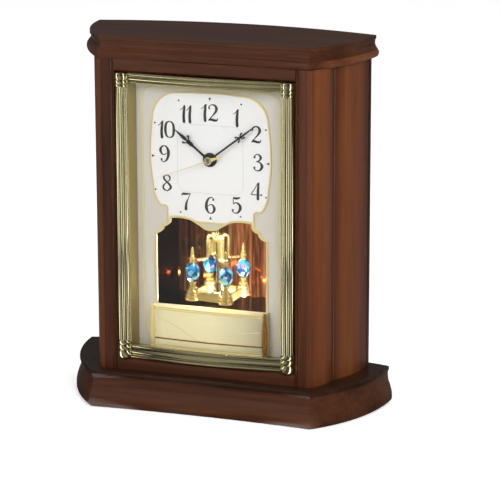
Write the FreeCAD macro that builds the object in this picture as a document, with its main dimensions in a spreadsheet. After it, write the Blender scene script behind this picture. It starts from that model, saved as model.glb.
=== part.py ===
import FreeCAD, Part
import math
import os

import Sketcher
from FreeCAD import Placement, Rotation, Vector

# A mantel clock in a bowed wooden case, with brass columns and a turning pendulum.
# X runs to the right of the dial, -Y to the front and Z up; the underside is at Z = 0.

doc = FreeCAD.newDocument("MantelClock")
sheet = doc.addObject("Spreadsheet::Sheet", "Sizes")

# Driving dimensions in millimetres.
lengths = {
    # case as a whole
    "sweepCentre": 40.75,        # the sides are arcs about this point behind the origin
    "overrun": 2.0,              # how far every cutting shape runs past the face it cuts
    "flatFit": 0.3,              # between loose flat pieces
    "shaftFit": 0.05,            # radial, a shaft in its bearing
    # plinth
    "plinthSide": 20.1,          # beyond the back corners of the case
    "plinthFront": 12.3,         # ahead of the stiles
    "plinthBack": 19.0,          # behind the back panel
    "plinthFrontBow": 3.5,
    "plinthCornerOut": 4.3,
    "plinthBackBow": 17.2,
    "plinthBackOut": 0.1,
    "plinthLift": 0.5,
    "plinthUnderRound": 2.3,
    "plinthBelly": 4.5,
    "plinthBellyTall": 3.5,
    "plinthShoulderTall": 5.0,
    "plinthShoulderInset": 1.3,
    "plinthLowCoveTall": 5.0,
    "plinthLowCoveInset": 2.0,
    "plinthCoveTall": 5.2,
    "plinthCoveInset": 0.75,
    "plinthLedgeTall": 2.8,
    "plinthLedgeOut": 0.45,
    "capTall": 4.0,
    "capBeadOut": 0.5,
    "capEdge": 1.2,
    "mouldBow": 0.12,
    "footAcross": 16.0,
    "footThick": 2.0,
    "footSink": 1.5,
    "footFit": 0.3,
    "footFromFront": 23.25,
    "footFromBack": 20.75,
    "footFrontIn": 20.5,
    "footBackIn": 35.4,
    # cornice and top board
    "topSide": 4.1,
    "topFrontSetback": 2.2,
    "topFrontBow": 2.5,
    "topCornerIn": 2.4,
    "topBackIn": 0.4,
    "topBackBow": 17.6,
    "topBackCornerIn": 1.0,
    "lipThick": 3.0,
    "lipEdge": 0.7,
    "lipUndercut": 0.6,
    "coveInset": 1.1,
    "coveDrop": 3.0,
    "flareOut": 1.5,
    "coveBow": 0.5,
    "boardThick": 10.5,
    "beadOut": 2.3,
    "beadTall": 6.5,
    "beadBottomOut": 0.5,
    "beadTopOut": 0.9,
    "beadBow": 0.9,
    # wooden body
    "glassOut": 65.2,
    "cornerFront": 38.95,
    "cornerRound": 0.8,
    "creaseSide": 9.9,
    "creaseDeep": 25.4,
    "creaseHalf": 0.9,
    "creaseBow": 0.35,
    "lobeFrontBow": 1.8,
    "lobeBackBow": 3.0,
    "sideFlare": 14.3,
    "sideBack": 31.75,
    "sideThick": 6.0,
    "stileCover": 4.0,
    "stileFlat": 6.85,
    "bevelWide": 3.3,
    "bevelDeep": 2.4,
    "bevelBow": 0.5,
    "footRailTall": 9.5,
    "headRailTall": 10.2,
    "railSetback": 0.75,
    "railBevel": 1.6,
    "backThick": 4.0,
    "backLap": 0.5,
    "backScrewEnd": 15.0,
    "screwRound": 1.5,
    "screwHeadRound": 3.0,
    "screwHeadDeep": 1.8,
    "screwLong": 14.0,
    # brass bezel
    "columnSide": 6.1,
    "columnSetback": 2.7,
    "columnRound": 4.85,
    "fluteRound": 0.62,
    "fluteProud": 0.2,
    "fluteEnd": 1.5,
    "baseTall": 15.0,
    "capitalTall": 11.5,
    "ringOut": 0.68,
    "ringBow": 0.15,
    "flangeGap": 0.35,
    "glassGap": 0.2,
    "glassLap": 3.75,
    "flangeThick": 1.5,
    "railEndGap": 0.95,
    "bezelRailProud": 2.1,
    "bezelRailBow": 3.6,
    "topRailTall": 8.1,
    "bottomRailTall": 11.2,
    "railMould": 0.9,
    "glassThick": 2.0,
    "glassUp": 5.5,
    "glassDown": 4.5,
    "linerSlope": 3.0,
    "linerThick": 1.2,
    "linerUp": 8.0,
    "linerDown": 6.8,
    # dial side
    "panelSetback": 16.7,
    "panelThick": 2.0,
    "panelIn": 0.6,
    "panelGap": 2.0,
    "dialThick": 0.8,
    "dialSunk": 0.8,
    "dialBelow": 50.6,
    "dialAbove": 52.3,
    "dialHeadroom": 16.3,
    "dialOut": 49.8,
    "dialSideIn": 2.2,
    "dialSideBow": 0.5,
    "dialCornerIn": 17.0,
    "dialCornerTall": 21.0,
    "dialCornerBow": 4.6,
    "dialTopBow": 1.2,
    "dialFootIn": 14.3,
    "dialFootTall": 8.0,
    "dialHookWide": 3.0,
    "dialHookTall": 3.6,
    "dialHookBow": 1.0,
    "dialLowIn": 7.8,
    "dialLowTall": 17.6,
    "dialLowBow": 1.6,
    "borderWide": 1.1,
    "borderThick": 1.1,
    "windowOut": 46.2,
    "windowSunk": 2.3,
    "windowSideTall": 60.2,
    "windowCornerTall": 6.0,
    "windowCornerIn": 6.7,
    "windowCrownTall": 7.2,
    "windowCrownIn": 12.2,
    "windowRiseDrop": 0.4,
    "windowRiseOut": 17.0,
    "windowDipDrop": 7.0,
    "windowDipOut": 5.0,
    "windowDipBow": 0.6,
    "windowShoulderBow": 2.0,
    "windowCrownBow": 0.9,
    "windowCornerBow": 1.6,
    "windowRiseBow": 1.2,
    "trimWide": 1.8,
    "trimThick": 0.8,
    "apronUp": 0.6,
    "apronTall": 35.2,
    "apronDeep": 8.0,
    "apronBow": 2.4,
    "apronTopOut": 0.3,
    "apronSlope": 3.1,
    "apronWall": 1.2,
    # pendulum chamber
    "chamberSide": 0.8,
    "chamberWall": 2.0,
    "chamberAbove": 1.6,
    "mirrorThick": 2.0,
    # movement
    "caseOut": 32.0,
    "caseBelow": 33.5,
    "caseAbove": 33.3,
    "caseGap": 1.5,
    "caseDeep": 17.5,
    "caseWall": 1.5,
    "bayTop": 16.2,
    "coverThick": 1.5,
    "bushRound": 4.5,
    "bushProud": 0.65,
    "nutRound": 5.6,
    "nutThick": 1.5,
    "batteryRound": 7.0,
    "batteryLong": 49.0,
    "batteryNub": 2.75,
    "batteryNubLong": 1.4,
    "batteryDrop": 24.8,
    "contactThick": 0.5,
    "contactWide": 8.0,
    "arborRound": 0.5,
    "cannonRound": 1.6,
    "pipeRound": 2.6,
    "wheelThick": 1.0,
    "layerGap": 0.6,
    "motionOut": 12.0,
    "thirdOut": 10.8,
    "intermediateOut": 11.0,
    "rotorOut": 9.0,
    "magnetRound": 2.6,
    "magnetThick": 1.8,
    "knobRound": 6.0,
    "knobLong": 6.0,
    "knobShaft": 1.4,
    "handThick": 0.5,
    "hourGap": 0.5,
    "minuteGap": 1.2,
    "secondGap": 1.3,
    "hourLong": 36.0,
    "minuteLong": 49.5,
    "secondLong": 45.0,
    "hourWide": 3.4,
    "minuteWide": 3.1,
    "secondWide": 0.9,
    "hourBoss": 4.2,
    "minuteBoss": 3.3,
    "secondBoss": 2.3,
    "circuitThick": 1.2,
    "circuitWide": 24.0,
    "circuitTall": 16.0,
    "circuitIn": 4.0,
    "circuitUp": 14.0,
    "circuitBack": 4.4,
    "pillarRound": 2.0,
    "bobbinRound": 3.7,
    "bobbinCore": 2.9,
    "bobbinLong": 16.0,
    "bobbinFlange": 1.0,
    "bobbinOut": 25.5,
    "statorThick": 1.2,
    "statorWide": 10.0,
    # pendulum
    "pendulumBack": 15.8,
    "spindleRound": 2.0,
    "spindleBaseRound": 5.2,
    "spindleBaseTall": 12.0,
    "pivotRound": 1.0,
    "driveOut": 15.5,
    "driveDeep": 24.7,
    "driveSetback": 3.55,
    "driveTall": 12.4,
    "driveWall": 1.3,
    "driveOffset": 10.5,
    "postOut": 21.3,
    "postClear": 7.0,
    "postRingRound": 6.0,
    "postRingTall": 2.1,
    "postNeck": 3.0,
    "postCore": 1.5,
    "crystalUp": 15.0,
    "crystalTall": 15.3,
    "crystalRound": 6.7,
    "crystalEnd": 3.2,
    "collarTall": 3.5,
    "finialRound": 1.75,
    "finialTip": 0.7,
    "finialTall": 9.2,
    "barTall": 6.5,
    "barThick": 3.0,
    "barGap": 0.3,
    "neckRound": 1.6,
    "neckUp": 1.9,
    "neckTall": 20.0,
    "neckIn": 3.5,
    "neckRiseOut": 8.5,
    "neckBend": 2.4,
    "neckTipOut": 4.0,
    "neckTipDrop": 4.0,
    "crownRound": 3.5,
    "crownTall": 3.0,
    # rear door
    "doorHalf": 50.0,
    "doorBelow": 54.2,
    "doorAbove": 55.8,
    "doorGap": 0.5,
    "leafThick": 0.8,
    "leafWide": 14.0,
    "leafTall": 24.0,
    "leafIn": 22.0,
    "knuckleRound": 1.6,
    "hingePin": 0.6,
    "knuckleGap": 0.2,
    "catchSide": 5.0,
    "catchLong": 9.0,
    "catchTail": 4.0,
    "catchWide": 6.0,
    "catchThick": 1.5,
    "catchScrew": 1.4,
    "catchHead": 2.6,
}


# Teeth and other repeats.
counts = {
    "cannonPinion": 12,
    "minuteWheel": 36,
    "minutePinion": 12,
    "hourWheel": 48,
    "rotorPinion": 12,
    "intermediateWheel": 60,
    "intermediatePinion": 10,
    "secondWheel": 60,
    "secondPinion": 8,
    "thirdWheel": 60,
    "thirdPinion": 8,
    "centreWheel": 64,
    "drivePinion": 12,
    "spindleWheel": 48,
    "knobRibs": 24,
    "flutes": 18,
    "postRings": 5,
    "spindleRings": 3,
    "crystalSides": 8,
    "posts": 4,
}

# Directions in degrees: of each arbor from the one before it, and of the first post.
directions = {
    "motion": 0,
    "third": 90,
    "intermediate": 225,
    "rotor": 180,
    "post": 36.9,
}


class Size:
    # a number that keeps the spreadsheet formula it comes from
    def __init__(self, number, formula):
        self.number = number
        self.formula = formula

    def __add__(self, other):
        other = asSize(other)
        return Size(self.number + other.number, f"({self.formula} + {other.formula})")

    def __radd__(self, other):
        return asSize(other) + self

    def __sub__(self, other):
        other = asSize(other)
        return Size(self.number - other.number, f"({self.formula} - {other.formula})")

    def __rsub__(self, other):
        return asSize(other) - self

    def __mul__(self, other):
        other = asSize(other)
        return Size(self.number * other.number, f"({self.formula} * {other.formula})")

    def __rmul__(self, other):
        return asSize(other) * self

    def __truediv__(self, other):
        other = asSize(other)
        return Size(self.number / other.number, f"({self.formula} / {other.formula})")

    def __neg__(self):
        return Size(-self.number, f"(0 - {self.formula})")

    def __float__(self):
        return self.number


def asSize(thing):
    if isinstance(thing, Size):
        return thing
    return Size(float(thing), f"({float(thing)!r})")


class SizeTable:
    # every name of the table as a Size, held in one spreadsheet cell
    def __init__(self, table):
        for row, (name, number) in enumerate(table.items(), start=1):
            cell = f"A{row}"
            sheet.set(cell, str(number))
            sheet.setAlias(cell, name)
            setattr(self, name, Size(number, f"Sizes.{name}"))


s = SizeTable(lengths)
doc.recompute()

# Heights, each stacked on what carries it.
s.plinthBellyTop = s.plinthBelly + s.plinthBellyTall
s.plinthShoulder = s.plinthBellyTop + s.plinthShoulderTall
s.plinthLowCove = s.plinthShoulder + s.plinthLowCoveTall
s.plinthCove = s.plinthLowCove + s.plinthCoveTall
s.plinthBaseTop = s.plinthCove + s.plinthLedgeTall
s.plinthHigh = s.plinthBaseTop + s.capTall
s.recessLow = s.plinthHigh + s.footRailTall
s.glassLow = s.recessLow + s.glassUp
s.linerLow = s.recessLow + s.linerUp
s.apronLow = s.linerLow + s.apronUp
s.apronHigh = s.apronLow + s.apronTall
s.windowFoot = s.apronHigh - s.windowSunk
s.chamberFloor = s.windowFoot
s.windowShoulder = s.windowFoot + s.windowSideTall
s.windowStep = s.windowShoulder + s.windowCornerTall
s.windowCrown = s.windowStep + s.windowCrownTall
s.windowRise = s.windowCrown - s.windowRiseDrop
s.windowDip = s.windowRise - s.windowDipDrop
s.chamberTop = s.windowCrown + s.chamberAbove
s.dialLow = s.windowCrown - s.dialSunk
s.hubHigh = s.dialLow + s.dialBelow
s.dialHigh = s.hubHigh + s.dialAbove
s.recessHigh = s.dialHigh + s.dialHeadroom
s.glassHigh = s.recessHigh - s.glassDown
s.linerHigh = s.recessHigh - s.linerDown
s.bodyHigh = s.recessHigh + s.headRailTall
s.panelLow = s.plinthHigh + s.panelGap
s.panelHigh = s.bodyHigh - s.panelGap
s.beadHigh = s.bodyHigh + s.beadTall
s.caseHigh = s.beadHigh + s.boardThick
s.postLow = s.chamberFloor + s.postClear
s.crystalLow = s.postLow + s.crystalUp
s.crystalHigh = s.crystalLow + s.crystalTall
s.collarTop = s.crystalHigh + s.collarTall
s.postTop = s.collarTop + s.finialTall
s.neckLow = s.crystalHigh + s.neckUp
s.neckTop = s.neckLow + s.neckTall
s.doorLow = s.hubHigh - s.doorBelow
s.doorHigh = s.hubHigh + s.doorAbove

# Distances from the middle, from the glass outward and inward.
s.columnOut = s.glassOut + s.glassLap
s.recessOut = s.columnOut + s.columnSide
s.flangeIn = s.glassOut + s.glassGap
s.flangeOut = s.recessOut - s.flangeGap
s.railEnd = s.columnOut - s.columnRound - s.railEndGap
s.stileFlatOut = s.recessOut + s.bevelWide
s.stileOut = s.stileFlatOut + s.stileFlat
s.cornerOut = s.stileOut + s.stileCover
s.creaseOut = s.cornerOut + s.creaseSide
s.sideBackOut = s.creaseOut + s.sideFlare
s.backOut = s.sideBackOut + s.backLap
s.backScrewOut = s.sideBackOut - s.sideThick / 2
s.plinthSweep = s.sideBackOut + s.plinthSide
s.plinthHalfFront = s.cornerOut + s.plinthCornerOut
s.plinthHalfBack = s.plinthSweep - s.plinthBackOut
s.footFrontOut = s.plinthHalfFront - s.footFrontIn
s.footBackOut = s.plinthHalfBack - s.footBackIn
s.topSweep = s.sideBackOut + s.topSide
s.topHalfFront = s.cornerOut - s.topCornerIn
s.topHalfBack = s.topSweep - s.topBackCornerIn
s.panelOut = s.stileOut - s.panelIn
s.linerIn = s.glassOut - s.linerSlope
s.dialSideOut = s.dialOut - s.dialSideIn
s.dialFootOut = s.dialOut - s.dialFootIn
s.dialLowOut = s.dialOut - s.dialLowIn
s.windowStepOut = s.windowOut - s.windowCornerIn
s.windowCrownOut = s.windowOut - s.windowCrownIn
s.apronFrontOut = s.windowOut + s.apronTopOut
s.apronBackOut = s.apronFrontOut + s.apronSlope
s.chamberOut = s.windowOut + s.chamberSide
s.neckOut = s.postOut - s.neckIn
s.catchOut = s.doorHalf + s.catchSide

# Depths, as distances ahead of the origin or, for the back, behind it.
s.railFront = s.cornerFront - s.railSetback
s.creaseFront = s.cornerFront - s.creaseDeep
s.frontMiddle = s.cornerFront + s.plinthFront
s.topFrontMiddle = s.cornerFront - s.topFrontSetback
s.backMiddle = s.sideBack + s.backThick + s.plinthBack
s.topBackMiddle = s.backMiddle - s.topBackIn
s.footFrontLine = s.frontMiddle - s.footFromFront
s.footBackLine = s.backMiddle - s.footFromBack
s.columnFront = s.cornerFront - s.columnSetback
s.glassFront = s.columnFront
s.bezelRailFront = s.columnFront + s.bezelRailProud
s.panelFront = s.cornerFront - s.panelSetback
s.apronFront = s.panelFront + s.apronDeep
s.caseFront = s.panelFront - s.panelThick - s.caseGap
s.bushFront = s.panelFront + s.dialThick + s.nutThick + s.bushProud
s.hourFront = s.bushFront + s.hourGap
s.minuteFront = s.hourFront + s.handThick + s.minuteGap
s.secondFront = s.minuteFront + s.handThick + s.secondGap
s.mirrorBack = s.sideBack - s.flatFit
s.pendulumFront = s.panelFront - s.pendulumBack
s.driveFront = s.panelFront - s.driveSetback
s.driveBack = s.driveDeep - s.driveFront

pieces = {}


def bind(thing, name, size):
    # tie one property to its formula; plain zeros stay as they are
    size = asSize(size)
    if "Sizes" in size.formula:
        thing.setExpression(name, size.formula)


def keep(name, thing):
    # register a finished sub-part under its node name
    thing.Label = name
    pieces[name] = thing
    return thing


def place(thing, x, y, z, rotation=Rotation()):
    thing.Placement = Placement(Vector(float(x), float(y), float(z)), rotation)
    bind(thing, "Placement.Base.x", x)
    bind(thing, "Placement.Base.y", y)
    bind(thing, "Placement.Base.z", z)
    return thing


upright = Rotation()
towardFront = Rotation(Vector(1, 0, 0), 90)
towardBack = Rotation(Vector(1, 0, 0), -90)
towardRight = Rotation(Vector(0, 1, 0), 90)


def box(low, high):
    thing = doc.addObject("Part::Box", "Box")
    for name, start, end in zip(("Length", "Width", "Height"), low, high):
        setattr(thing, name, float(end - start))
        bind(thing, name, end - start)
    return place(thing, *low)


def rod(x, y, z, radius, long, rotation=upright):
    thing = doc.addObject("Part::Cylinder", "Rod")
    thing.Radius = float(radius)
    thing.Height = float(long)
    bind(thing, "Radius", radius)
    bind(thing, "Height", long)
    return place(thing, x, y, z, rotation)


def fuse(parts):
    thing = doc.addObject("Part::MultiFuse", "Fuse")
    thing.Shapes = parts
    return thing


def cut(base, tools):
    thing = doc.addObject("Part::Cut", "Cut")
    thing.Base = base
    thing.Tool = tools[0] if len(tools) == 1 else fuse(tools)
    return thing


def group(name, parts):
    # several separate solids in one node
    thing = doc.addObject("Part::Compound", "Group")
    thing.Links = parts
    return keep(name, thing)


def sketchOn(body, plane, offset=0):
    sketch = body.newObject("Sketcher::SketchObject", "Outline")
    planes = {item.Role: item for item in body.Origin.OriginFeatures}
    sketch.AttachmentSupport = [(planes[plane], "")]
    sketch.MapMode = "FlatFace"
    sketch.AttachmentOffset = Placement(Vector(0, 0, float(offset)), Rotation())
    bind(sketch, "AttachmentOffset.Base.z", offset)
    return sketch


def draw(sketch, corners):
    # a closed outline; a corner is (across, up) or (across, up, bow), where the bow
    # swells the side that follows, to the right of the way round
    count = len(corners)
    spots = [Vector(float(corner[0]), float(corner[1]), 0) for corner in corners]
    first = sketch.GeometryCount
    sides = []
    ends = []
    for index, corner in enumerate(corners):
        start = spots[index]
        end = spots[(index + 1) % count]
        bow = float(corner[2]) if len(corner) > 2 else 0.0
        if bow:
            along = (end - start).normalize()
            middle = (start + end) / 2 + Vector(along.y, -along.x, 0) * bow
            sides.append(Part.Arc(start, middle, end))
        else:
            sides.append(Part.LineSegment(start, end))
        ends.append((2, 1) if bow < 0 else (1, 2))
    sketch.addGeometry(sides)
    ties = []
    formulas = []
    for index, corner in enumerate(corners):
        after = (index + 1) % count
        side = first + index
        ties.append(Sketcher.Constraint("Coincident", side, ends[index][1], first + after, ends[after][0]))
        for kind, size in (("DistanceX", corner[0]), ("DistanceY", corner[1])):
            formulas.append((len(ties), size))
            ties.append(Sketcher.Constraint(kind, -1, 1, side, ends[index][0], float(size)))
        if len(corner) > 2 and float(corner[2]):
            across = corners[after][0] - corner[0]
            up = corners[after][1] - corner[1]
            bow = corner[2] if float(corner[2]) > 0 else -corner[2]
            radius = (across * across + up * up) / (8 * bow) + bow / 2
            formulas.append((len(ties), radius))
            ties.append(Sketcher.Constraint("Radius", side, float(radius)))
    before = sketch.ConstraintCount
    sketch.addConstraint(ties)
    for index, size in formulas:
        bind(sketch, f"Constraints[{before + index}]", size)


def circle(sketch, across, up, radius):
    middle = Vector(float(across), float(up), 0)
    side = sketch.addGeometry(Part.Circle(middle, Vector(0, 0, 1), float(radius)))
    for kind, size in (("DistanceX", across), ("DistanceY", up)):
        tie = sketch.addConstraint(Sketcher.Constraint(kind, -1, 1, side, 3, float(size)))
        bind(sketch, f"Constraints[{tie}]", size)
    tie = sketch.addConstraint(Sketcher.Constraint("Radius", side, float(radius)))
    bind(sketch, f"Constraints[{tie}]", radius)


def newBody():
    return doc.addObject("PartDesign::Body", "Body")


def pad(body, sketch, long):
    thing = body.newObject("PartDesign::Pad", "Pad")
    thing.Profile = sketch
    thing.Length = float(long)
    bind(thing, "Length", long)
    doc.recompute()
    return thing


def pocket(body, sketch, long):
    # cuts the same way as a pad would grow
    thing = body.newObject("PartDesign::Pocket", "Pocket")
    thing.Profile = sketch
    thing.Reversed = True
    thing.Length = float(long)
    bind(thing, "Length", long)
    doc.recompute()
    return thing


def revolve(body, sketch, kind="PartDesign::Revolution"):
    thing = body.newObject(kind, "Turn")
    thing.Profile = sketch
    thing.ReferenceAxis = (sketch, ["V_Axis"])
    thing.Angle = 360
    doc.recompute()
    return thing


def slab(corners, low, high):
    # an outline seen from above, between two heights
    body = newBody()
    sketch = sketchOn(body, "XY_Plane", low)
    draw(sketch, corners)
    pad(body, sketch, high - low)
    return body


def sheetPiece(corners, front, thick):
    # an outline seen from the front; `front` is the distance of its face ahead of the origin
    body = newBody()
    sketch = sketchOn(body, "XZ_Plane", front - thick)
    draw(sketch, corners)
    pad(body, sketch, thick)
    return body


def turned(profile, x, y, z, rotation=upright):
    # (radius, height) corners turned about their own upright axis
    body = newBody()
    sketch = sketchOn(body, "XZ_Plane")
    draw(sketch, profile)
    revolve(body, sketch)
    return place(body, x, y, z, rotation)


def mirrored(corners):
    # the other hand of an outline, kept in the same way round
    flipped = []
    count = len(corners)
    for index in range(count):
        corner = corners[(count - index) % count]
        before = corners[(count - index - 1) % count]
        flipped.append((-corner[0], corner[1]) + tuple(before[2:3]))
    return flipped


def bothSides(half):
    # an outline from its right half, drawn upward from the foot; the bow of the last
    # corner belongs to the top
    left = [(-corner[0], corner[1]) for corner in reversed(half)]
    for index in range(len(half) - 1):
        bow = half[len(half) - 2 - index][2:3]
        left[index] = left[index] + tuple(bow)
    return list(half) + left


# wooden mouldings

def mouldedBoard(name, profile, sweep, front, back):
    # the profile is (inset, height, bow) upward, round the front and the sides; the back is
    # plain, and each of the three edges is an arc in plan
    frontMiddle, frontBow, frontHalf = front
    backMiddle, backBow, backHalf = back
    frontRound = frontHalf * frontHalf / (2 * frontBow) + frontBow / 2
    backRound = backHalf * backHalf / (2 * backBow) + backBow / 2
    low = profile[0][1]
    high = profile[-1][1]
    body = newBody()
    sketch = sketchOn(body, "XZ_Plane", -s.sweepCentre)
    rim = [(sweep - point[0], point[1]) + tuple(point[2:]) for point in profile]
    draw(sketch, [(0, low)] + rim + [(0, high)])
    revolve(body, sketch)
    below = low - s.overrun
    above = high + s.overrun
    sketch = sketchOn(body, "XZ_Plane", frontMiddle + frontRound)
    hollow = [(frontRound + point[0], point[1]) + tuple(-bow for bow in point[2:]) for point in profile]
    start = (hollow[0][0], below)
    end = (hollow[-1][0], above)
    draw(sketch, [(0, below), start] + hollow + [end, (0, above)])
    revolve(body, sketch, "PartDesign::Groove")
    sketch = sketchOn(body, "XZ_Plane", backRound - backMiddle)
    outside = backRound + sweep
    draw(sketch, [(backRound, below), (outside, below), (outside, above), (backRound, above)])
    revolve(body, sketch, "PartDesign::Groove")
    return keep(name, body) if name else body


def makePlinth():
    front = (s.frontMiddle, s.plinthFrontBow, s.plinthHalfFront)
    back = (s.backMiddle, s.plinthBackBow, s.plinthHalfBack)
    lowCoveInset = s.plinthShoulderInset + s.plinthLowCoveInset
    coveInset = lowCoveInset + s.plinthCoveInset
    ledgeInset = coveInset - s.plinthLedgeOut
    base = mouldedBoard(None, [
        (s.plinthUnderRound, s.plinthLift, s.mouldBow * 5),
        (0, s.plinthBelly),
        (s.mouldBow, s.plinthBellyTop, s.mouldBow),
        (s.plinthShoulderInset, s.plinthShoulder, s.mouldBow),
        (lowCoveInset, s.plinthLowCove, -s.mouldBow),
        (coveInset, s.plinthCove, -s.mouldBow * 2),
        (ledgeInset, s.plinthBaseTop),
    ], s.plinthSweep, front, back)
    sketch = sketchOn(base, "XY_Plane", 0)
    for x, y in footPlaces():
        circle(sketch, x, y, s.footAcross / 2 + s.footFit)
    pocket(base, sketch, s.plinthLift + s.footSink)
    keep("plinth_base", base)
    beadInset = ledgeInset - s.capBeadOut
    mouldedBoard("plinth_cap", [
        (ledgeInset + s.mouldBow, s.plinthBaseTop, s.mouldBow),
        (beadInset, s.plinthHigh - s.capEdge * 1.5),
        (beadInset, s.plinthHigh - s.capEdge, s.capEdge * 0.25),
        (beadInset + s.capEdge * 0.8, s.plinthHigh),
    ], s.plinthSweep, front, back)
    pads = [rod(x, y, 0, s.footAcross / 2, s.footThick) for x, y in footPlaces()]
    group("felt_pads", pads)


def footPlaces():
    places = []
    for side in (-1, 1):
        places.append((side * s.footFrontOut, -s.footFrontLine))
        places.append((side * s.footBackOut, s.footBackLine))
    return places


def makeTop():
    front = (s.topFrontMiddle, s.topFrontBow, s.topHalfFront)
    back = (s.topBackMiddle, s.topBackBow, s.topHalfBack)
    lipLow = s.caseHigh - s.lipThick
    mouldedBoard("top_board", [
        (-s.flareOut, s.beadHigh, -s.coveBow),
        (s.coveInset, lipLow - s.coveDrop, -s.coveBow / 5),
        (s.lipUndercut, lipLow),
        (0, lipLow + s.lipEdge / 2),
        (0, s.caseHigh - s.lipEdge),
        (s.lipEdge * 0.3, s.caseHigh - s.lipEdge * 0.3),
        (s.lipEdge, s.caseHigh),
    ], s.topSweep, front, back)
    mouldedBoard("cornice_bead", [
        (-s.beadBottomOut, s.bodyHigh, s.beadBow / 2),
        (-s.beadOut, s.bodyHigh + s.beadTall * 0.4, s.beadBow),
        (-s.beadTopOut, s.beadHigh),
    ], s.topSweep, front, back)


def makeSides():
    frontLine = s.cornerFront + s.flatFit
    inner = s.sideThick
    outline = [
        (s.stileOut, -frontLine),
        (s.cornerOut - s.cornerRound, -frontLine, s.cornerRound * 0.2),
        (s.cornerOut, -(frontLine - s.cornerRound), s.lobeFrontBow),
        (s.creaseOut - s.creaseHalf, -(s.creaseFront + s.creaseHalf), -s.creaseBow),
        (s.creaseOut + s.creaseHalf / 2, -(s.creaseFront - s.creaseHalf), s.lobeBackBow),
        (s.sideBackOut, s.sideBack),
        (s.sideBackOut - inner, s.sideBack, -s.lobeBackBow),
        (s.creaseOut - inner, -(s.creaseFront - inner / 2), -s.lobeFrontBow),
        (s.stileOut, -(s.cornerFront - inner)),
    ]
    spots = [s.plinthHigh + s.backScrewEnd, (s.plinthHigh + s.bodyHigh) / 2, s.bodyHigh - s.backScrewEnd]
    for name, corners, side in (("right_side_panel", outline, 1), ("left_side_panel", mirrored(outline), -1)):
        body = slab(corners, s.plinthHigh, s.bodyHigh)
        sketch = sketchOn(body, "XZ_Plane", -(s.sideBack + s.overrun))
        for high in spots:
            circle(sketch, side * s.backScrewOut, high, s.screwRound + s.shaftFit)
        pocket(body, sketch, s.overrun + s.screwLong - s.backThick + s.flatFit)
        keep(name, body)
    stile = [
        (s.recessOut, -s.panelFront),
        (s.recessOut, -(s.cornerFront - s.bevelDeep), -s.bevelBow),
        (s.stileFlatOut, -s.cornerFront),
        (s.stileOut, -s.cornerFront),
        (s.stileOut, -s.panelFront),
    ]
    keep("right_stile", slab(stile, s.plinthHigh, s.bodyHigh))
    keep("left_stile", slab(mirrored(stile), s.plinthHigh, s.bodyHigh))
    for name, low, high, bevelLow in (("head_rail", s.recessHigh, s.bodyHigh, True),
                                      ("foot_rail", s.plinthHigh, s.recessLow, False)):
        body = newBody()
        sketch = sketchOn(body, "YZ_Plane", -s.recessOut)
        edge = low if bevelLow else high
        step = s.railBevel if bevelLow else -s.railBevel
        other = high if bevelLow else low
        draw(sketch, [
            (-s.panelFront, other),
            (-s.railFront, other),
            (-s.railFront, edge + step),
            (-(s.railFront - s.railBevel), edge),
            (-s.panelFront, edge),
        ])
        pad(body, sketch, 2 * s.recessOut)
        keep(name, body)


def backScrewPlaces():
    heights = [s.plinthHigh + s.backScrewEnd, (s.plinthHigh + s.bodyHigh) / 2, s.bodyHigh - s.backScrewEnd]
    return [(side * s.backScrewOut, high) for side in (-1, 1) for high in heights]


def makeBack():
    panel = sheetPiece([
        (-s.backOut, s.plinthHigh),
        (s.backOut, s.plinthHigh),
        (s.backOut, s.bodyHigh),
        (-s.backOut, s.bodyHigh),
    ], -s.sideBack, s.backThick)
    sketch = sketchOn(panel, "XZ_Plane", -(s.sideBack + s.backThick + s.overrun))
    draw(sketch, [
        (-s.doorHalf, s.doorLow),
        (s.doorHalf, s.doorLow),
        (s.doorHalf, s.doorHigh),
        (-s.doorHalf, s.doorHigh),
    ])
    through = s.backThick + 2 * s.overrun
    pocket(panel, sketch, through)
    sketch = sketchOn(panel, "XZ_Plane", -(s.sideBack + s.backThick + s.overrun))
    for x, z in backScrewPlaces():
        circle(sketch, x, z, s.screwRound + s.shaftFit)
    circle(sketch, s.catchOut, (s.doorLow + s.doorHigh) / 2, s.catchScrew)
    pocket(panel, sketch, through)
    sketch = sketchOn(panel, "XZ_Plane", -(s.sideBack + s.backThick + s.overrun))
    for x, z in backScrewPlaces():
        circle(sketch, x, z, s.screwHeadRound + s.shaftFit)
    pocket(panel, sketch, s.overrun + s.screwHeadDeep)
    keep("back_panel", panel)
    screws = []
    for x, z in backScrewPlaces():
        start = s.sideBack + s.backThick
        screws.append(turned([
            (0, 0),
            (s.screwHeadRound, 0),
            (s.screwHeadRound, s.screwHeadDeep - s.flatFit / 2),
            (s.screwRound, s.screwHeadDeep - s.flatFit / 2),
            (s.screwRound, s.screwLong - s.screwRound),
            (0, s.screwLong),
        ], x, start, z, towardFront))
    group("back_panel_screws", screws)


# brass bezel, glass and liner

def ringRun(radius, low, high, shares, out, bow, taper=0):
    # stacked rounded rings, each with its share of the height; `taper` narrows them upward
    run = []
    start = low
    for index, share in enumerate(shares):
        step = (high - low) * share
        reach = out - taper * index / len(shares)
        run.append((radius + reach, start + step * 0.12, bow))
        run.append((radius + reach, start + step * 0.88))
        run.append((radius + reach * 0.35, start + step))
        start = start + step
    return run[:-1]


def evenShares(count):
    return [1 / count] * count


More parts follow.
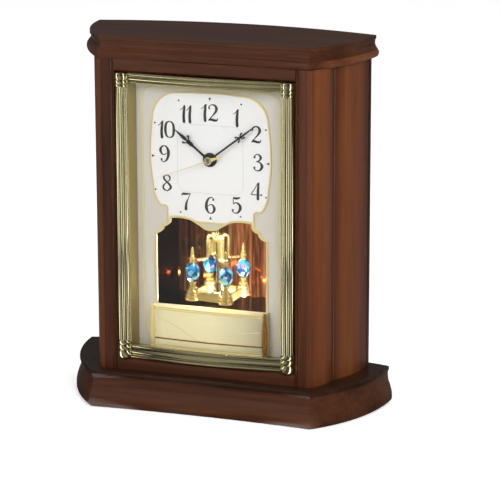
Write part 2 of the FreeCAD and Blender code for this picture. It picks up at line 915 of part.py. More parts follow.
def makeColumns():
    low = s.recessLow + s.flatFit
    high = s.recessHigh - s.flatFit
    shaftLow = low + s.baseTall
    shaftHigh = high - s.capitalTall
    baseShares = (0.46, 0.30, 0.24)
    capitalShares = (0.24, 0.28, 0.48)
    for name, side in (("left_column", -1), ("right_column", 1)):
        body = newBody()
        sketch = sketchOn(body, "XZ_Plane")
        base = ringRun(s.columnRound, low, shaftLow, baseShares, s.ringOut, s.ringBow)
        capital = ringRun(s.columnRound, shaftHigh, high, capitalShares, s.ringOut, s.ringBow)
        draw(sketch, [(0, low), (base[0][0], low)] + base + [
            (s.columnRound, shaftLow),
            (s.columnRound, shaftHigh),
        ] + capital + [(capital[-1][0], high), (0, high)])
        revolve(body, sketch)
        sketch = sketchOn(body, "XY_Plane", shaftLow + s.fluteEnd)
        circle(sketch, s.columnRound + s.fluteProud, 0, s.fluteRound)
        flute = pocket(body, sketch, shaftHigh - shaftLow - 2 * s.fluteEnd)
        pattern = body.newObject("PartDesign::PolarPattern", "Flutes")
        pattern.Originals = [flute]
        pattern.Axis = (sketch, ["N_Axis"])
        pattern.Angle = 360
        pattern.Occurrences = counts["flutes"]
        body.Tip = pattern
        doc.recompute()
        place(body, side * s.columnOut, -s.columnFront, 0)
        inner = s.flangeIn if side > 0 else -s.flangeOut
        outer = s.flangeOut if side > 0 else -s.flangeIn
        back = s.glassFront - s.glassThick
        flange = box((inner, -(back + s.flangeThick), low), (outer, -back, high))
        below = low - s.overrun
        above = high + s.overrun
        behind = box((-s.flangeOut, -back, below), (s.flangeOut, 0, above))
        clear = s.glassOut + s.shaftFit
        besideGlass = box((-clear, -(s.glassFront + s.shaftFit), below), (clear, 0, above))
        keep(name, fuse([cut(body, [behind, besideGlass]), flange]))


def steppedRail(name, steps, back):
    # a rail bowed forward, each step a plate of its own height and setback
    body = newBody()
    for low, high, setback in steps:
        sketch = sketchOn(body, "XY_Plane", low)
        front = s.bezelRailFront - setback
        draw(sketch, [
            (-s.railEnd, -back),
            (-s.railEnd, -front, s.bezelRailBow),
            (s.railEnd, -front),
            (s.railEnd, -back),
        ])
        pad(body, sketch, high - low)
    keep(name, body)


def makeRails():
    back = s.glassFront
    high = s.recessHigh - s.flatFit
    depth = s.topRailTall
    topShares = ((0.0, 0.26, 0), (0.26, 0.5, 1), (0.5, 0.78, 0.5), (0.78, 1.0, 1.9))
    steps = [(high - depth * b, high - depth * a, s.railMould * c) for a, b, c in topShares]
    steppedRail("bezel_top_rail", steps, back)
    low = s.recessLow + s.flatFit
    depth = s.bottomRailTall
    bottomShares = ((0.0, 0.3, 0), (0.3, 0.44, 0.8), (0.44, 0.74, 0.4), (0.74, 0.88, 1.3), (0.88, 1.0, 2.0))
    steps = [(low + depth * a, low + depth * b, s.railMould * c) for a, b, c in bottomShares]
    steppedRail("bezel_bottom_rail", steps, back)


def makeGlassAndLiner():
    back = s.glassFront - s.glassThick
    keep("front_glass", box((-s.glassOut, -s.glassFront, s.glassLow), (s.glassOut, -back, s.glassHigh)))
    wall = [
        (s.linerIn, -s.panelFront),
        (s.glassOut, -back),
        (s.glassOut + s.linerThick, -back),
        (s.linerIn + s.linerThick, -s.panelFront),
    ]
    keep("right_liner", slab(wall, s.linerLow, s.linerHigh))
    keep("left_liner", slab(mirrored(wall), s.linerLow, s.linerHigh))
    strips = []
    for low, high in ((s.linerLow - s.linerThick, s.linerLow), (s.linerHigh, s.linerHigh + s.linerThick)):
        strips.append(box((-s.glassOut, -back, low), (s.glassOut, -s.panelFront, high)))
    group("liner_strips", strips)


# dial panel, dial, window trim and apron

def windowHalf(grow):
    # right half of the window, upward from the foot, widened by `grow`
    return [
        (s.windowOut + grow, s.windowFoot),
        (s.windowOut + grow, s.windowShoulder, -s.windowCornerBow),
        (s.windowStepOut + grow, s.windowStep + grow, -s.windowShoulderBow),
        (s.windowCrownOut + grow / 2, s.windowCrown + grow, s.windowCrownBow),
        (s.windowRiseOut, s.windowRise + grow, s.windowRiseBow / 4),
        (s.windowDipOut, s.windowDip + grow, -s.windowDipBow),
    ]


def dialHalf(shrink):
    # right half of the barrel-shaped dial, upward from the foot past the hook above the window
    foot = s.dialLow + s.dialFootTall + shrink
    hook = foot + s.dialHookTall
    return [
        (s.dialFootOut - shrink, s.dialLow + shrink),
        (s.dialFootOut - shrink, foot, -s.dialHookBow),
        (s.dialFootOut + s.dialHookWide - shrink, hook),
        (s.dialLowOut - shrink, hook, s.dialLowBow),
        (s.dialSideOut - shrink, hook + s.dialLowTall, s.dialSideBow),
        (s.dialOut - shrink, s.hubHigh, s.dialSideBow),
        (s.dialSideOut - shrink, s.dialHigh - s.dialCornerTall - shrink, s.dialCornerBow),
        (s.dialSideOut - s.dialCornerIn - shrink, s.dialHigh - s.dialTopBow - shrink, s.dialTopBow),
    ]


def makeDial():
    panel = sheetPiece([
        (-s.panelOut, s.panelLow),
        (s.panelOut, s.panelLow),
        (s.panelOut, s.panelHigh),
        (-s.panelOut, s.panelHigh),
    ], s.panelFront, s.panelThick)
    sketch = sketchOn(panel, "XZ_Plane", s.panelFront - s.panelThick - s.overrun)
    draw(sketch, bothSides(windowHalf(0)))
    through = s.panelThick + 2 * s.overrun
    pocket(panel, sketch, through)
    sketch = sketchOn(panel, "XZ_Plane", s.panelFront - s.panelThick - s.overrun)
    circle(sketch, 0, s.hubHigh, s.bushRound + s.shaftFit)
    pocket(panel, sketch, through)
    keep("dial_panel", panel)
    dial = sheetPiece(bothSides(dialHalf(0)), s.panelFront + s.dialThick, s.dialThick)
    sketch = sketchOn(dial, "XZ_Plane", s.panelFront - s.overrun)
    circle(sketch, 0, s.hubHigh, s.bushRound + s.shaftFit)
    pocket(dial, sketch, s.dialThick + 2 * s.overrun)
    sketch = sketchOn(dial, "XZ_Plane", s.panelFront - s.overrun)
    draw(sketch, bothSides(windowHalf(s.trimWide)))
    pocket(dial, sketch, s.dialThick + 2 * s.overrun)
    keep("dial_plate", dial)
    front = s.panelFront + s.borderThick
    border = sheetPiece(bothSides(dialHalf(-s.borderWide)), front, s.borderThick)
    sketch = sketchOn(border, "XZ_Plane", s.panelFront - s.overrun)
    draw(sketch, bothSides(dialHalf(-s.shaftFit)))
    pocket(border, sketch, s.borderThick + 2 * s.overrun)
    sketch = sketchOn(border, "XZ_Plane", s.panelFront - s.overrun)
    draw(sketch, bothSides(windowHalf(s.trimWide)))
    pocket(border, sketch, s.borderThick + 2 * s.overrun)
    keep("dial_border", border)
    trim = sheetPiece(bothSides(windowHalf(s.trimWide - s.shaftFit)), s.panelFront + s.trimThick, s.trimThick)
    sketch = sketchOn(trim, "XZ_Plane", s.panelFront - s.overrun)
    draw(sketch, bothSides(windowHalf(0)))
    pocket(trim, sketch, s.trimThick + 2 * s.overrun)
    sketch = sketchOn(trim, "XZ_Plane", s.panelFront - s.overrun)
    draw(sketch, [
        (-2 * s.windowOut, 0),
        (2 * s.windowOut, 0),
        (2 * s.windowOut, s.apronHigh + s.flatFit),
        (-2 * s.windowOut, s.apronHigh + s.flatFit),
    ])
    pocket(trim, sketch, s.trimThick + 2 * s.overrun)
    keep("window_trim", trim)


def makeApron():
    body = slab([
        (-s.apronBackOut, -s.panelFront),
        (-s.apronFrontOut, -s.apronFront, s.apronBow),
        (s.apronFrontOut, -s.apronFront),
        (s.apronBackOut, -s.panelFront),
    ], s.apronLow, s.apronHigh)
    sketch = sketchOn(body, "XY_Plane", s.apronLow + s.apronWall)
    draw(sketch, [
        (-(s.apronBackOut - s.apronWall), -(s.panelFront - s.overrun)),
        (-(s.apronBackOut - s.apronWall), -s.panelFront),
        (-(s.apronFrontOut - s.apronWall), -(s.apronFront - s.apronWall), s.apronBow),
        (s.apronFrontOut - s.apronWall, -(s.apronFront - s.apronWall)),
        (s.apronBackOut - s.apronWall, -s.panelFront),
        (s.apronBackOut - s.apronWall, -(s.panelFront - s.overrun)),
    ])
    pocket(body, sketch, s.apronHigh - s.apronLow - 2 * s.apronWall)
    keep("apron", body)


# mirrored chamber

def makeChamber():
    front = -(s.panelFront - s.panelThick)
    out = s.chamberOut
    wall = s.chamberWall
    back = s.mirrorBack
    sides = []
    for side in (-1, 1):
        inner = out if side > 0 else -(out + wall)
        sides.append(box((inner, front, s.plinthHigh), (inner + wall, back, s.chamberTop)))
    group("chamber_side_mirrors", sides)
    keep("chamber_floor", box((-out, front, s.chamberFloor - wall), (out, back, s.chamberFloor)))
    keep("chamber_back_mirror", box((-out, back - s.mirrorThick, s.chamberFloor), (out, back, s.chamberTop)))
    board = box((-(out + wall), front, s.chamberTop), (out + wall, back, s.chamberTop + wall))
    y = -s.pendulumFront
    below = s.chamberTop - s.overrun
    through = wall + 2 * s.overrun
    hole = rod(0, y, below, s.spindleRound + s.shaftFit, through)
    pinHole = rod(s.driveOffset, y, below, s.arborRound + s.shaftFit, through)
    keep("chamber_ceiling", cut(board, [hole, pinHole]))


# wheels

def toothedDisc(teeth, module, thick, half=False):
    # a flat wheel about Z with straight-flanked teeth; `half` turns it by half a tooth
    pitch = float(module) * teeth / 2
    tip = pitch + float(module) * 0.85
    root = pitch - float(module) * 1.1
    step = 2 * math.pi / teeth
    points = []
    for index in range(teeth):
        middle = step * (index + (0.5 if half else 0.0))
        for radius, share in ((root, -0.31), (tip, -0.12), (tip, 0.12), (root, 0.31)):
            angle = middle + step * share
            points.append(Vector(radius * math.cos(angle), radius * math.sin(angle), 0))
    points.append(points[0])
    thing = doc.addObject("Part::Feature", "Teeth")
    thing.Shape = Part.Face(Part.makePolygon(points)).extrude(Vector(0, 0, float(thick)))
    return thing


def moduleOf(distance, first, second):
    # size of tooth that lets two wheels mesh at the given distance between their arbors
    return 2 * distance / (counts[first] + counts[second])


def alongY(x, back, z, name, module, thick, towards, gap=False):
    # a wheel with its axis along Y, growing to the front; a tooth, or with `gap` a space,
    # faces `towards`, in degrees as seen from the front
    teeth = counts[name]
    step = 360.0 / teeth
    degrees = (towards + (step / 2 if gap else 0.0)) % step
    wheel = place(toothedDisc(teeth, module, thick), x, back, z, towardFront)
    turn = towardFront.multiply(Rotation(Vector(0, 0, 1), degrees))
    wheel.Placement = Placement(wheel.Placement.Base, turn)
    return wheel


def arborY(x, z, radius, back, front):
    # a round bar from `back` to `front`, both as Y positions
    return rod(x, back, z, radius, back - front, towardFront)


caseInside = -(s.caseFront - s.caseWall)
layerStep = s.wheelThick + s.layerGap
caseBack = -(s.caseFront - s.caseDeep)


def layerBack(index):
    # Y of the back face of a wheel in the given layer, counted from the front plate
    return caseInside + layerStep * (index + 1)


def polar(centre, reach, degrees):
    angle = math.radians(degrees)
    return (centre[0] + reach * math.cos(angle), centre[1] + reach * math.sin(angle))


hub = (asSize(0), s.hubHigh)
motionAxis = polar(hub, s.motionOut, directions["motion"])
thirdAxis = polar(hub, s.thirdOut, directions["third"])
intermediateAxis = polar(hub, s.intermediateOut, directions["intermediate"])
rotorAxis = polar(intermediateAxis, s.rotorOut, directions["rotor"])


def pinionAgainst(layer, x, z, name, module, towards):
    # a pinion on the front face of the wheel in `layer`, one layer deep
    back = layerBack(layer) - s.wheelThick
    return alongY(x, back, z, name, module, layerStep, towards)


def bored(name, parts, tools):
    return keep(name, cut(fuse(parts), tools))


def makeMotionWork():
    x, z = hub
    thick = s.wheelThick
    toMotion = directions["motion"]
    minuteModule = moduleOf(s.motionOut, "cannonPinion", "minuteWheel")
    hourModule = moduleOf(s.motionOut, "minutePinion", "hourWheel")
    # minute arbor with its cannon pinion
    pinion = alongY(x, layerBack(1), z, "cannonPinion", minuteModule, thick, toMotion)
    tubeFront = -(s.minuteFront + s.handThick + s.layerGap)
    tube = arborY(x, z, s.cannonRound, layerBack(2) + s.layerGap / 2, tubeFront)
    hole = arborY(x, z, s.arborRound + s.shaftFit, s.overrun, -(s.secondFront + s.overrun))
    bored("cannon_pinion", [pinion, tube], [hole])
    # hour wheel with its pipe
    wheel = alongY(x, layerBack(0), z, "hourWheel", hourModule, thick, toMotion, True)
    pipe = arborY(x, z, s.pipeRound, layerBack(0), -(s.hourFront + s.handThick + s.layerGap))
    hole = arborY(x, z, s.cannonRound + s.shaftFit, s.overrun, -(s.secondFront + s.overrun))
    bored("hour_wheel", [wheel, pipe], [hole])
    # minute wheel, its pinion and the setting shaft
    x, z = motionAxis
    wheel = alongY(x, layerBack(1), z, "minuteWheel", minuteModule, thick, toMotion + 180, True)
    pinion = pinionAgainst(1, x, z, "minutePinion", hourModule, toMotion + 180)
    cover = caseBack + s.coverThick
    shaftEnd = cover + s.knobLong * 0.7
    shaft = arborY(x, z, s.knobShaft, shaftEnd, layerBack(1) - thick / 2)
    pivot = arborY(x, z, s.arborRound, layerBack(1), -s.caseFront)
    keep("minute_wheel", fuse([wheel, pinion, shaft, pivot]))
    knobFront = cover + s.flatFit
    ribs = counts["knobRibs"]
    grip = toothedDisc(ribs, 2 * s.knobRound / ribs, s.knobLong)
    place(grip, x, knobFront + s.knobLong, z, towardFront)
    hole = arborY(x, z, s.knobShaft + s.shaftFit / 2, shaftEnd + s.flatFit, knobFront - s.overrun)
    keep("set_knob", cut(grip, [hole]))


def makeGoingTrain():
    x, z = hub
    thick = s.wheelThick
    bearing = caseBack + s.coverThick / 2
    toThird = directions["third"]
    toIntermediate = directions["intermediate"]
    toRotor = directions["rotor"]
    thirdModule = moduleOf(s.thirdOut, "secondPinion", "thirdWheel")
    centreModule = moduleOf(s.thirdOut, "thirdPinion", "centreWheel")
    intermediateModule = moduleOf(s.intermediateOut, "intermediatePinion", "secondWheel")
    rotorModule = moduleOf(s.rotorOut, "rotorPinion", "intermediateWheel")
    # centre wheel, a friction fit on the minute arbor
    wheel = alongY(x, layerBack(2), z, "centreWheel", centreModule, thick, toThird, True)
    hole = arborY(x, z, s.cannonRound + s.shaftFit, s.overrun, -s.caseFront)
    keep("centre_wheel", cut(wheel, [hole]))
    # second wheel, its pinion and the long thin arbor
    wheel = alongY(x, layerBack(4), z, "secondWheel", intermediateModule, thick, toIntermediate, True)
    pinion = pinionAgainst(4, x, z, "secondPinion", thirdModule, toThird)
    arbor = arborY(x, z, s.arborRound, bearing, -(s.secondFront + s.handThick + s.layerGap))
    keep("second_wheel", fuse([wheel, pinion, arbor]))
    # third wheel and pinion
    x, z = thirdAxis
    wheel = alongY(x, layerBack(3), z, "thirdWheel", thirdModule, thick, toThird + 180, True)
    pinion = pinionAgainst(3, x, z, "thirdPinion", centreModule, toThird + 180)
    arbor = arborY(x, z, s.arborRound, bearing, -s.caseFront)
    keep("third_wheel", fuse([wheel, pinion, arbor]))
    # intermediate wheel and pinion
    x, z = intermediateAxis
    wheel = alongY(x, layerBack(5), z, "intermediateWheel", rotorModule, thick, toRotor, True)
    pinion = pinionAgainst(5, x, z, "intermediatePinion", intermediateModule, toIntermediate + 180)
    arbor = arborY(x, z, s.arborRound, bearing, -s.caseFront)
    keep("intermediate_wheel", fuse([wheel, pinion, arbor]))
    # rotor: pinion and round magnet
    x, z = rotorAxis
    pinion = alongY(x, layerBack(5), z, "rotorPinion", rotorModule, thick, toRotor + 180)
    magnet = arborY(x, z, s.magnetRound, layerBack(6) + s.magnetThick, layerBack(6))
    arbor = arborY(x, z, s.arborRound, bearing, -s.caseFront)
    keep("rotor", fuse([pinion, magnet, arbor]))


# movement case and what it holds

def makeMovement():
    low = s.hubHigh - s.caseBelow
    high = s.hubHigh + s.caseAbove
    front = -s.caseFront
    wall = s.caseWall
    block = box((-s.caseOut, front, low), (s.caseOut, caseBack, high))
    past = caseBack + s.overrun
    bayHigh = s.hubHigh - s.bayTop
    train = box((-(s.caseOut - wall), front + wall, bayHigh), (s.caseOut - wall, past, high - wall))
    bay = box((-(s.caseOut - wall), front + wall, low + wall), (s.caseOut - wall, past, bayHigh - wall))
    holes = [arborY(x, z, s.arborRound + s.shaftFit, caseInside + s.overrun, front - s.overrun)
             for x, z in (motionAxis, thirdAxis, intermediateAxis, rotorAxis)]
    shell = cut(block, [train, bay] + holes)
    bush = arborY(0, s.hubHigh, s.bushRound, front + wall, -s.bushFront)
    pillarBack = -(s.circuitBack + s.circuitThick)
    pillars = [arborY(x, z, s.pillarRound, pillarBack, front) for x, z in pillarPlaces()]
    bore = arborY(0, s.hubHigh, s.pipeRound + s.shaftFit, caseInside + s.overrun, -(s.bushFront + s.overrun))
    keep("movement_case", cut(fuse([shell, bush] + pillars), [bore]))
    plate = box((-s.caseOut, caseBack, bayHigh - wall), (s.caseOut, caseBack + s.coverThick, high))
    depth = caseBack + s.coverThick + s.overrun
    holes = [arborY(x, z, s.arborRound + s.shaftFit, depth, caseBack - s.overrun)
             for x, z in (hub, thirdAxis, intermediateAxis, rotorAxis)]
    x, z = motionAxis
    holes.append(arborY(x, z, s.knobShaft + s.shaftFit, depth, caseBack - s.overrun))
    keep("movement_cover", cut(plate, holes))
    nutBack = -(s.panelFront + s.dialThick)
    nutFront = nutBack - s.nutThick
    disc = arborY(0, s.hubHigh, s.nutRound, nutBack, nutFront)
    hole = arborY(0, s.hubHigh, s.bushRound + s.shaftFit, nutBack + s.overrun, nutFront - s.overrun)
    keep("movement_nut", cut(disc, [hole]))


def pillarPlaces():
    up = s.hubHigh + s.circuitUp + s.circuitTall / 2
    return [(s.circuitIn + s.circuitWide * 0.22, up), (s.circuitIn + s.circuitWide * 0.85, up)]


def makeElectrics():
    x0 = s.circuitIn
    z0 = s.hubHigh + s.circuitUp
    back = -s.circuitBack
    front = back - s.circuitThick
    keep("circuit_board", box((x0, front, z0), (x0 + s.circuitWide, back, z0 + s.circuitTall)))
    # stator blade round the rotor, with the coil standing on it
    x, z = rotorAxis
    middle = layerBack(6) + s.magnetThick / 2
    half = s.statorThick / 2
    reach = s.statorWide / 2
    bladeTop = z + reach * 0.8
    blade = box((-(s.caseOut - s.caseWall), middle - half, z - reach), (x + reach, middle + half, bladeTop))
    hole = arborY(x, z, s.magnetRound + s.flatFit * 2, middle + s.overrun, middle - s.overrun)
    flange = s.bobbinFlange
    coil = turned([
        (0, 0),
        (s.bobbinRound, 0),
        (s.bobbinRound, flange),
        (s.bobbinCore, flange),
        (s.bobbinCore, s.bobbinLong - flange),
        (s.bobbinRound, s.bobbinLong - flange),
        (s.bobbinRound, s.bobbinLong),
        (0, s.bobbinLong),
    ], -s.bobbinOut, middle, bladeTop - half)
    keep("motor_coil", fuse([cut(blade, [hole]), coil]))
    axisHigh = s.hubHigh - s.batteryDrop
    axisBack = caseInside + s.batteryRound + s.flatFit
    start = -(s.batteryLong + s.batteryNubLong) / 2
    cell = turned([
        (0, 0),
        (s.batteryRound, 0),
        (s.batteryRound, s.batteryLong),
        (s.batteryNub, s.batteryLong),
        (s.batteryNub, s.batteryLong + s.batteryNubLong),
        (0, s.batteryLong + s.batteryNubLong),
    ], start, axisBack, axisHigh, towardRight)
    keep("battery", cell)
    half = s.contactWide / 2
    thick = s.contactThick
    back = axisBack + half
    front = axisBack - half
    low = axisHigh - half
    high = axisHigh + half
    strips = []
    for side in (-1, 1):
        ends = sorted((side * (s.flatFit - start), side * (s.caseOut - s.caseWall)), key=float)
        plates = [box((x, front, low), (x + thick, back, high)) for x in (ends[0], ends[1] - thick)]
        link = box((ends[0], front, high - thick), (ends[1], back, high))
        strips.append(fuse(plates + [link]))
    group("battery_contacts", strips)


# hands

def handOutline(long, wide, boss, tail, widthShares):
    # half widths along the hand, as shares of its width, from the boss to the tip
    right = [(wide * width / 2, boss + (long - boss) * along) for along, width in widthShares]
    outline = [(boss * 0.7, -boss * 0.7), (boss, 0, boss * 0.12), (boss * 0.5, boss * 0.87)]
    outline += right
    outline += [(-x, y) for x, y in reversed(right)]
    outline += [(-boss * 0.5, boss * 0.87), (-boss, 0), (-boss * 0.7, -boss * 0.7), (0, -(boss + tail))]
    return outline


def makeHands():
    bladeShares = ((0.05, 0.35), (0.3, 0.3), (0.48, 0.55), (0.58, 1.0), (0.68, 0.5), (0.72, 0.9),
                   (0.8, 0.3), (0.97, 0.14))
    needleShares = ((0.02, 0.8), (0.6, 0.5), (0.99, 0.3))
    rows = (
        ("hour_hand", s.hourLong, s.hourWide, s.hourBoss, s.hourFront, s.pipeRound, bladeShares, 0, -51.3),
        ("minute_hand", s.minuteLong, s.minuteWide, s.minuteBoss, s.minuteFront, s.cannonRound, bladeShares,
         0, 52.5),
        ("second_hand", s.secondLong, s.secondWide, s.secondBoss, s.secondFront, s.arborRound, needleShares,
         s.secondLong * 0.28, 249.0),
    )
    for name, long, wide, boss, front, bore, shares, tail, clockwise in rows:
        body = newBody()
        sketch = sketchOn(body, "XZ_Plane")
        draw(sketch, handOutline(long, wide, boss, tail, shares))
        pad(body, sketch, s.handThick)
        sketch = sketchOn(body, "XZ_Plane", -s.overrun)
        circle(sketch, 0, 0, bore + s.shaftFit / 2)
        pocket(body, sketch, s.handThick + 2 * s.overrun)
        place(body, 0, -front, s.hubHigh, Rotation(Vector(0, 1, 0), clockwise))
        keep(name, body)


# pendulum and its drive

def makeDrive():
    low = s.chamberTop + s.chamberWall
    high = low + s.driveTall
    shell = box((-s.driveOut, -s.driveFront, low), (s.driveOut, s.driveBack, high))
    inner = box((-(s.driveOut - s.driveWall), -(s.driveFront - s.driveWall), low - s.overrun),
                (s.driveOut - s.driveWall, s.driveBack - s.driveWall, high - s.driveWall))
    y = -s.pendulumFront
    roofLow = high - s.driveWall - s.overrun
    through = s.driveWall + 2 * s.overrun
    roofHoles = [rod(0, y, roofLow, s.pivotRound + s.shaftFit, through),
                 rod(s.driveOffset, y, roofLow, s.arborRound + s.shaftFit, through)]
    keep("drive_case", cut(shell, [inner] + roofHoles))
    module = moduleOf(s.driveOffset, "drivePinion", "spindleWheel")
    wheelLow = low + s.flatFit
    wheel = place(toothedDisc(counts["spindleWheel"], module, s.wheelThick, True), 0, y, wheelLow)
    bossTall = s.wheelThick * 3
    boss = rod(0, y, wheelLow, s.spindleRound * 2, bossTall)
    spindle = rod(0, y, s.postLow, s.spindleRound, wheelLow + bossTall - s.postLow)
    pivot = rod(0, y, low, s.pivotRound, s.driveTall)
    ringTop = s.postLow + s.spindleBaseTall / 2
    out = s.spindleBaseRound - s.spindleRound
    ringShares = evenShares(counts["spindleRings"])
    rings = ringRun(s.spindleRound, s.postLow, ringTop, ringShares, out, s.ringBow, out / 2)
    foot = turned([(0, s.postLow), (rings[0][0], s.postLow)] + rings + [
        (s.spindleRound + out * 0.3, ringTop),
        (s.spindleRound, s.postLow + s.spindleBaseTall),
        (0, s.postLow + s.spindleBaseTall),
    ], 0, y, 0)
    keep("pendulum_spindle", fuse([wheel, boss, spindle, pivot, foot]))
    x = s.driveOffset
    pinion = place(toothedDisc(counts["drivePinion"], module, s.wheelThick), x, y, wheelLow)
    magnet = rod(x, y, low + s.driveTall * 0.4, s.magnetRound, s.magnetThick * 2)
    arbor = rod(x, y, s.chamberTop + s.flatFit, s.arborRound, s.chamberWall + s.driveTall - s.flatFit)
    keep("drive_pinion", fuse([pinion, magnet, arbor]))


def postAngles():
    step = 360 / counts["posts"]
    return [directions["post"] + step * index for index in range(counts["posts"])]


def makePendulum():
    y = -s.pendulumFront
    neckLow = s.postLow + counts["postRings"] * s.postRingTall
    core = s.postNeck * 0.8
    out = s.postRingRound - s.ringBow * 2 - core
    ringShares = evenShares(counts["postRings"])
    posts = []
    crystals = []
    for degrees in postAngles():
        x, spot = polar((asSize(0), y), s.postOut, degrees)
        rings = ringRun(core, s.postLow, neckLow, ringShares, out, s.ringBow * 2, out / 2)
        posts.append(turned([(0, s.postLow), (rings[0][0], s.postLow)] + rings + [
            (s.postNeck, neckLow),
            (s.postNeck * 0.7, s.crystalLow - s.flatFit),
            (s.postCore, s.crystalLow - s.flatFit),
            (s.postCore, s.crystalHigh + s.flatFit),
            (s.postNeck, s.crystalHigh + s.flatFit),
            (s.postNeck, s.collarTop),
            (s.finialRound, s.collarTop, s.finialRound * 0.1),
            (s.finialTip, s.postTop),
            (0, s.postTop),
        ], x, spot, 0))
        crystals.append(crystal(x, spot, degrees))
    group("pendulum_posts", posts)
    group("pendulum_crystals", crystals)
    middle = s.postOut * math.sqrt(0.5)
    reach = middle - s.postRingRound - s.barGap
    half = s.barThick / 2
    frame = []
    for degrees in postAngles():
        turn = math.radians(degrees - 45)
        corners = []
        for u, v in ((-reach, -half), (reach, -half), (reach, half), (-reach, half)):
            v = middle + v
            corners.append((u * math.cos(turn) - v * math.sin(turn),
                            u * math.sin(turn) + v * math.cos(turn) + y))
        frame.append(slab(corners, s.postLow, s.postLow + s.barTall))
    group("pendulum_frame", frame)
    makeNecks()


def crystal(x, y, degrees):
    # a bead cut with flat sides, a broad girdle and two flat ends
    middle = (s.crystalLow + s.crystalHigh) / 2
    high = s.crystalHigh - s.crystalLow
    rows = ((s.crystalLow, s.crystalEnd), (middle - high * 0.16, s.crystalRound),
            (middle + high * 0.16, s.crystalRound), (s.crystalHigh, s.crystalEnd))
    sides = counts["crystalSides"]
    wires = []
    for level, radius in rows:
        points = []
        for index in range(sides + 1):
            angle = math.radians(degrees + 360 / sides * (index + 0.5))
            across = float(radius)
            points.append(Vector(across * math.cos(angle), across * math.sin(angle), float(level)))
        wires.append(Part.makePolygon(points))
    bead = doc.addObject("Part::Feature", "Bead")
    bead.Shape = Part.makeLoft(wires, True, True)
    place(bead, x, y, 0)
    hole = rod(x, y, s.crystalLow - s.overrun, s.postCore + s.shaftFit, high + 2 * s.overrun)
    return cut(bead, [hole])


def makeNecks():
    # four swan necks that rise from the collars and curl over beside the spindle
    y = -s.pendulumFront
    low = s.neckLow
    rise = s.neckRiseOut
    bend = s.neckBend
    curl = (rise - s.neckTipOut) / 2
    spring = s.neckTop - s.neckRound - curl
    tipLow = spring - s.neckTipDrop
    crownLow = tipLow + (s.neckTipDrop - s.crownTall) / 2
    slant = 1 - math.sqrt(0.5)
    parts = [rod(0, y, crownLow, s.crownRound, s.crownTall)]
    for degrees in postAngles():
        angle = math.radians(degrees)

        def spot(out, high):
            return Vector(float(out) * math.cos(angle), float(out) * math.sin(angle), float(high))

        foot = spot(s.neckOut, low)
        turnIn = spot(rise + bend, low)
        turnUp = spot(rise, low + bend)
        curlStart = spot(rise, spring)
        curlEnd = spot(rise - 2 * curl, spring)
        path = Part.Wire([
            Part.makeLine(foot, turnIn),
            Part.Arc(turnIn, spot(rise + bend * slant, low + bend * slant), turnUp).toShape(),
            Part.makeLine(turnUp, curlStart),
            Part.Arc(curlStart, spot(rise - curl, spring + curl), curlEnd).toShape(),
            Part.makeLine(curlEnd, spot(rise - 2 * curl, tipLow)),
        ])
        ring = Part.Wire(Part.makeCircle(float(s.neckRound), foot, spot(-1, 0)))
        neck = doc.addObject("Part::Feature", "Neck")
        neck.Shape = path.makePipeShell([ring], True, False)
        place(neck, 0, y, 0)
        parts.append(neck)
    hole = rod(0, y, crownLow - s.overrun, s.spindleRound + s.shaftFit / 2, s.crownTall + 2 * s.overrun)
    keep("pendulum_crown", cut(fuse(parts), [hole]))


# rear door

def makeDoor():
    outer = s.sideBack + s.backThick
    out = s.doorHalf - s.doorGap
    keep("rear_door", box((-out, s.sideBack, s.doorLow + s.doorGap), (out, outer, s.doorHigh - s.doorGap)))
    axis = -s.doorHalf
    knuckleY = outer + s.knuckleRound
    third = s.leafTall / 3
    fixed = []
    moving = []
    for low in (s.doorLow + s.leafIn, s.doorHigh - s.leafIn - s.leafTall):
        plate = box((axis - s.leafWide, outer, low), (axis, outer + s.leafThick, low + s.leafTall))
        lowEnd = rod(axis, knuckleY, low, s.knuckleRound, third)
        highEnd = rod(axis, knuckleY, low + 2 * third, s.knuckleRound, third)
        notch = box((axis - s.knuckleRound - s.doorGap, outer - s.overrun, low + third - s.knuckleGap),
                    (axis + s.overrun, outer + s.leafThick + s.overrun, low + 2 * third + s.knuckleGap))
        pin = rod(axis, knuckleY, low, s.hingePin, s.leafTall)
        fixed.append(fuse([cut(plate, [notch]), lowEnd, highEnd, pin]))
        plate = box((axis + s.knuckleRound + s.doorGap, outer, low),
                    (axis + s.leafWide, outer + s.leafThick, low + s.leafTall))
        tongue = box((axis, outer, low + third + s.knuckleGap),
                     (axis + s.knuckleRound + s.doorGap, outer + s.leafThick, low + 2 * third - s.knuckleGap))
        barrel = rod(axis, knuckleY, low + third + s.knuckleGap, s.knuckleRound, third - 2 * s.knuckleGap)
        bore = rod(axis, knuckleY, low, s.hingePin + s.shaftFit, s.leafTall)
        moving.append(cut(fuse([plate, tongue, barrel]), [bore]))
    group("fixed_hinge_leaves", fixed)
    group("door_hinge_leaves", moving)
    middle = (s.doorLow + s.doorHigh) / 2
    start = outer + s.flatFit
    bar = box((s.catchOut - s.catchWide / 2, start, middle - s.catchTail),
              (s.catchOut + s.catchWide / 2, start + s.catchThick, middle + s.catchLong))
    shank = rod(s.catchOut, s.sideBack, middle, s.catchScrew - s.shaftFit, outer + s.catchThick - s.sideBack,
                towardBack)
    head = rod(s.catchOut, start + s.catchThick / 2, middle, s.catchHead, s.catchThick, towardBack)
    keep("door_catch", fuse([bar, shank, head]))


def writeParts():
    doc.recompute()
    os.makedirs("parts", exist_ok=True)
    for thing in doc.Objects:
        broken = [word for word in thing.State if word in ("Invalid", "Error")]
        if broken:
            raise RuntimeError(f"{thing.Label}: {broken}")
    for name, thing in pieces.items():
        shape = thing.Shape
        if shape.isNull() or not shape.isValid() or not shape.Solids:
            raise RuntimeError(f"{name}: bad shape")
        shape.exportStep(f"parts/{name}.step")
        print(name, len(shape.Solids), round(shape.Volume))


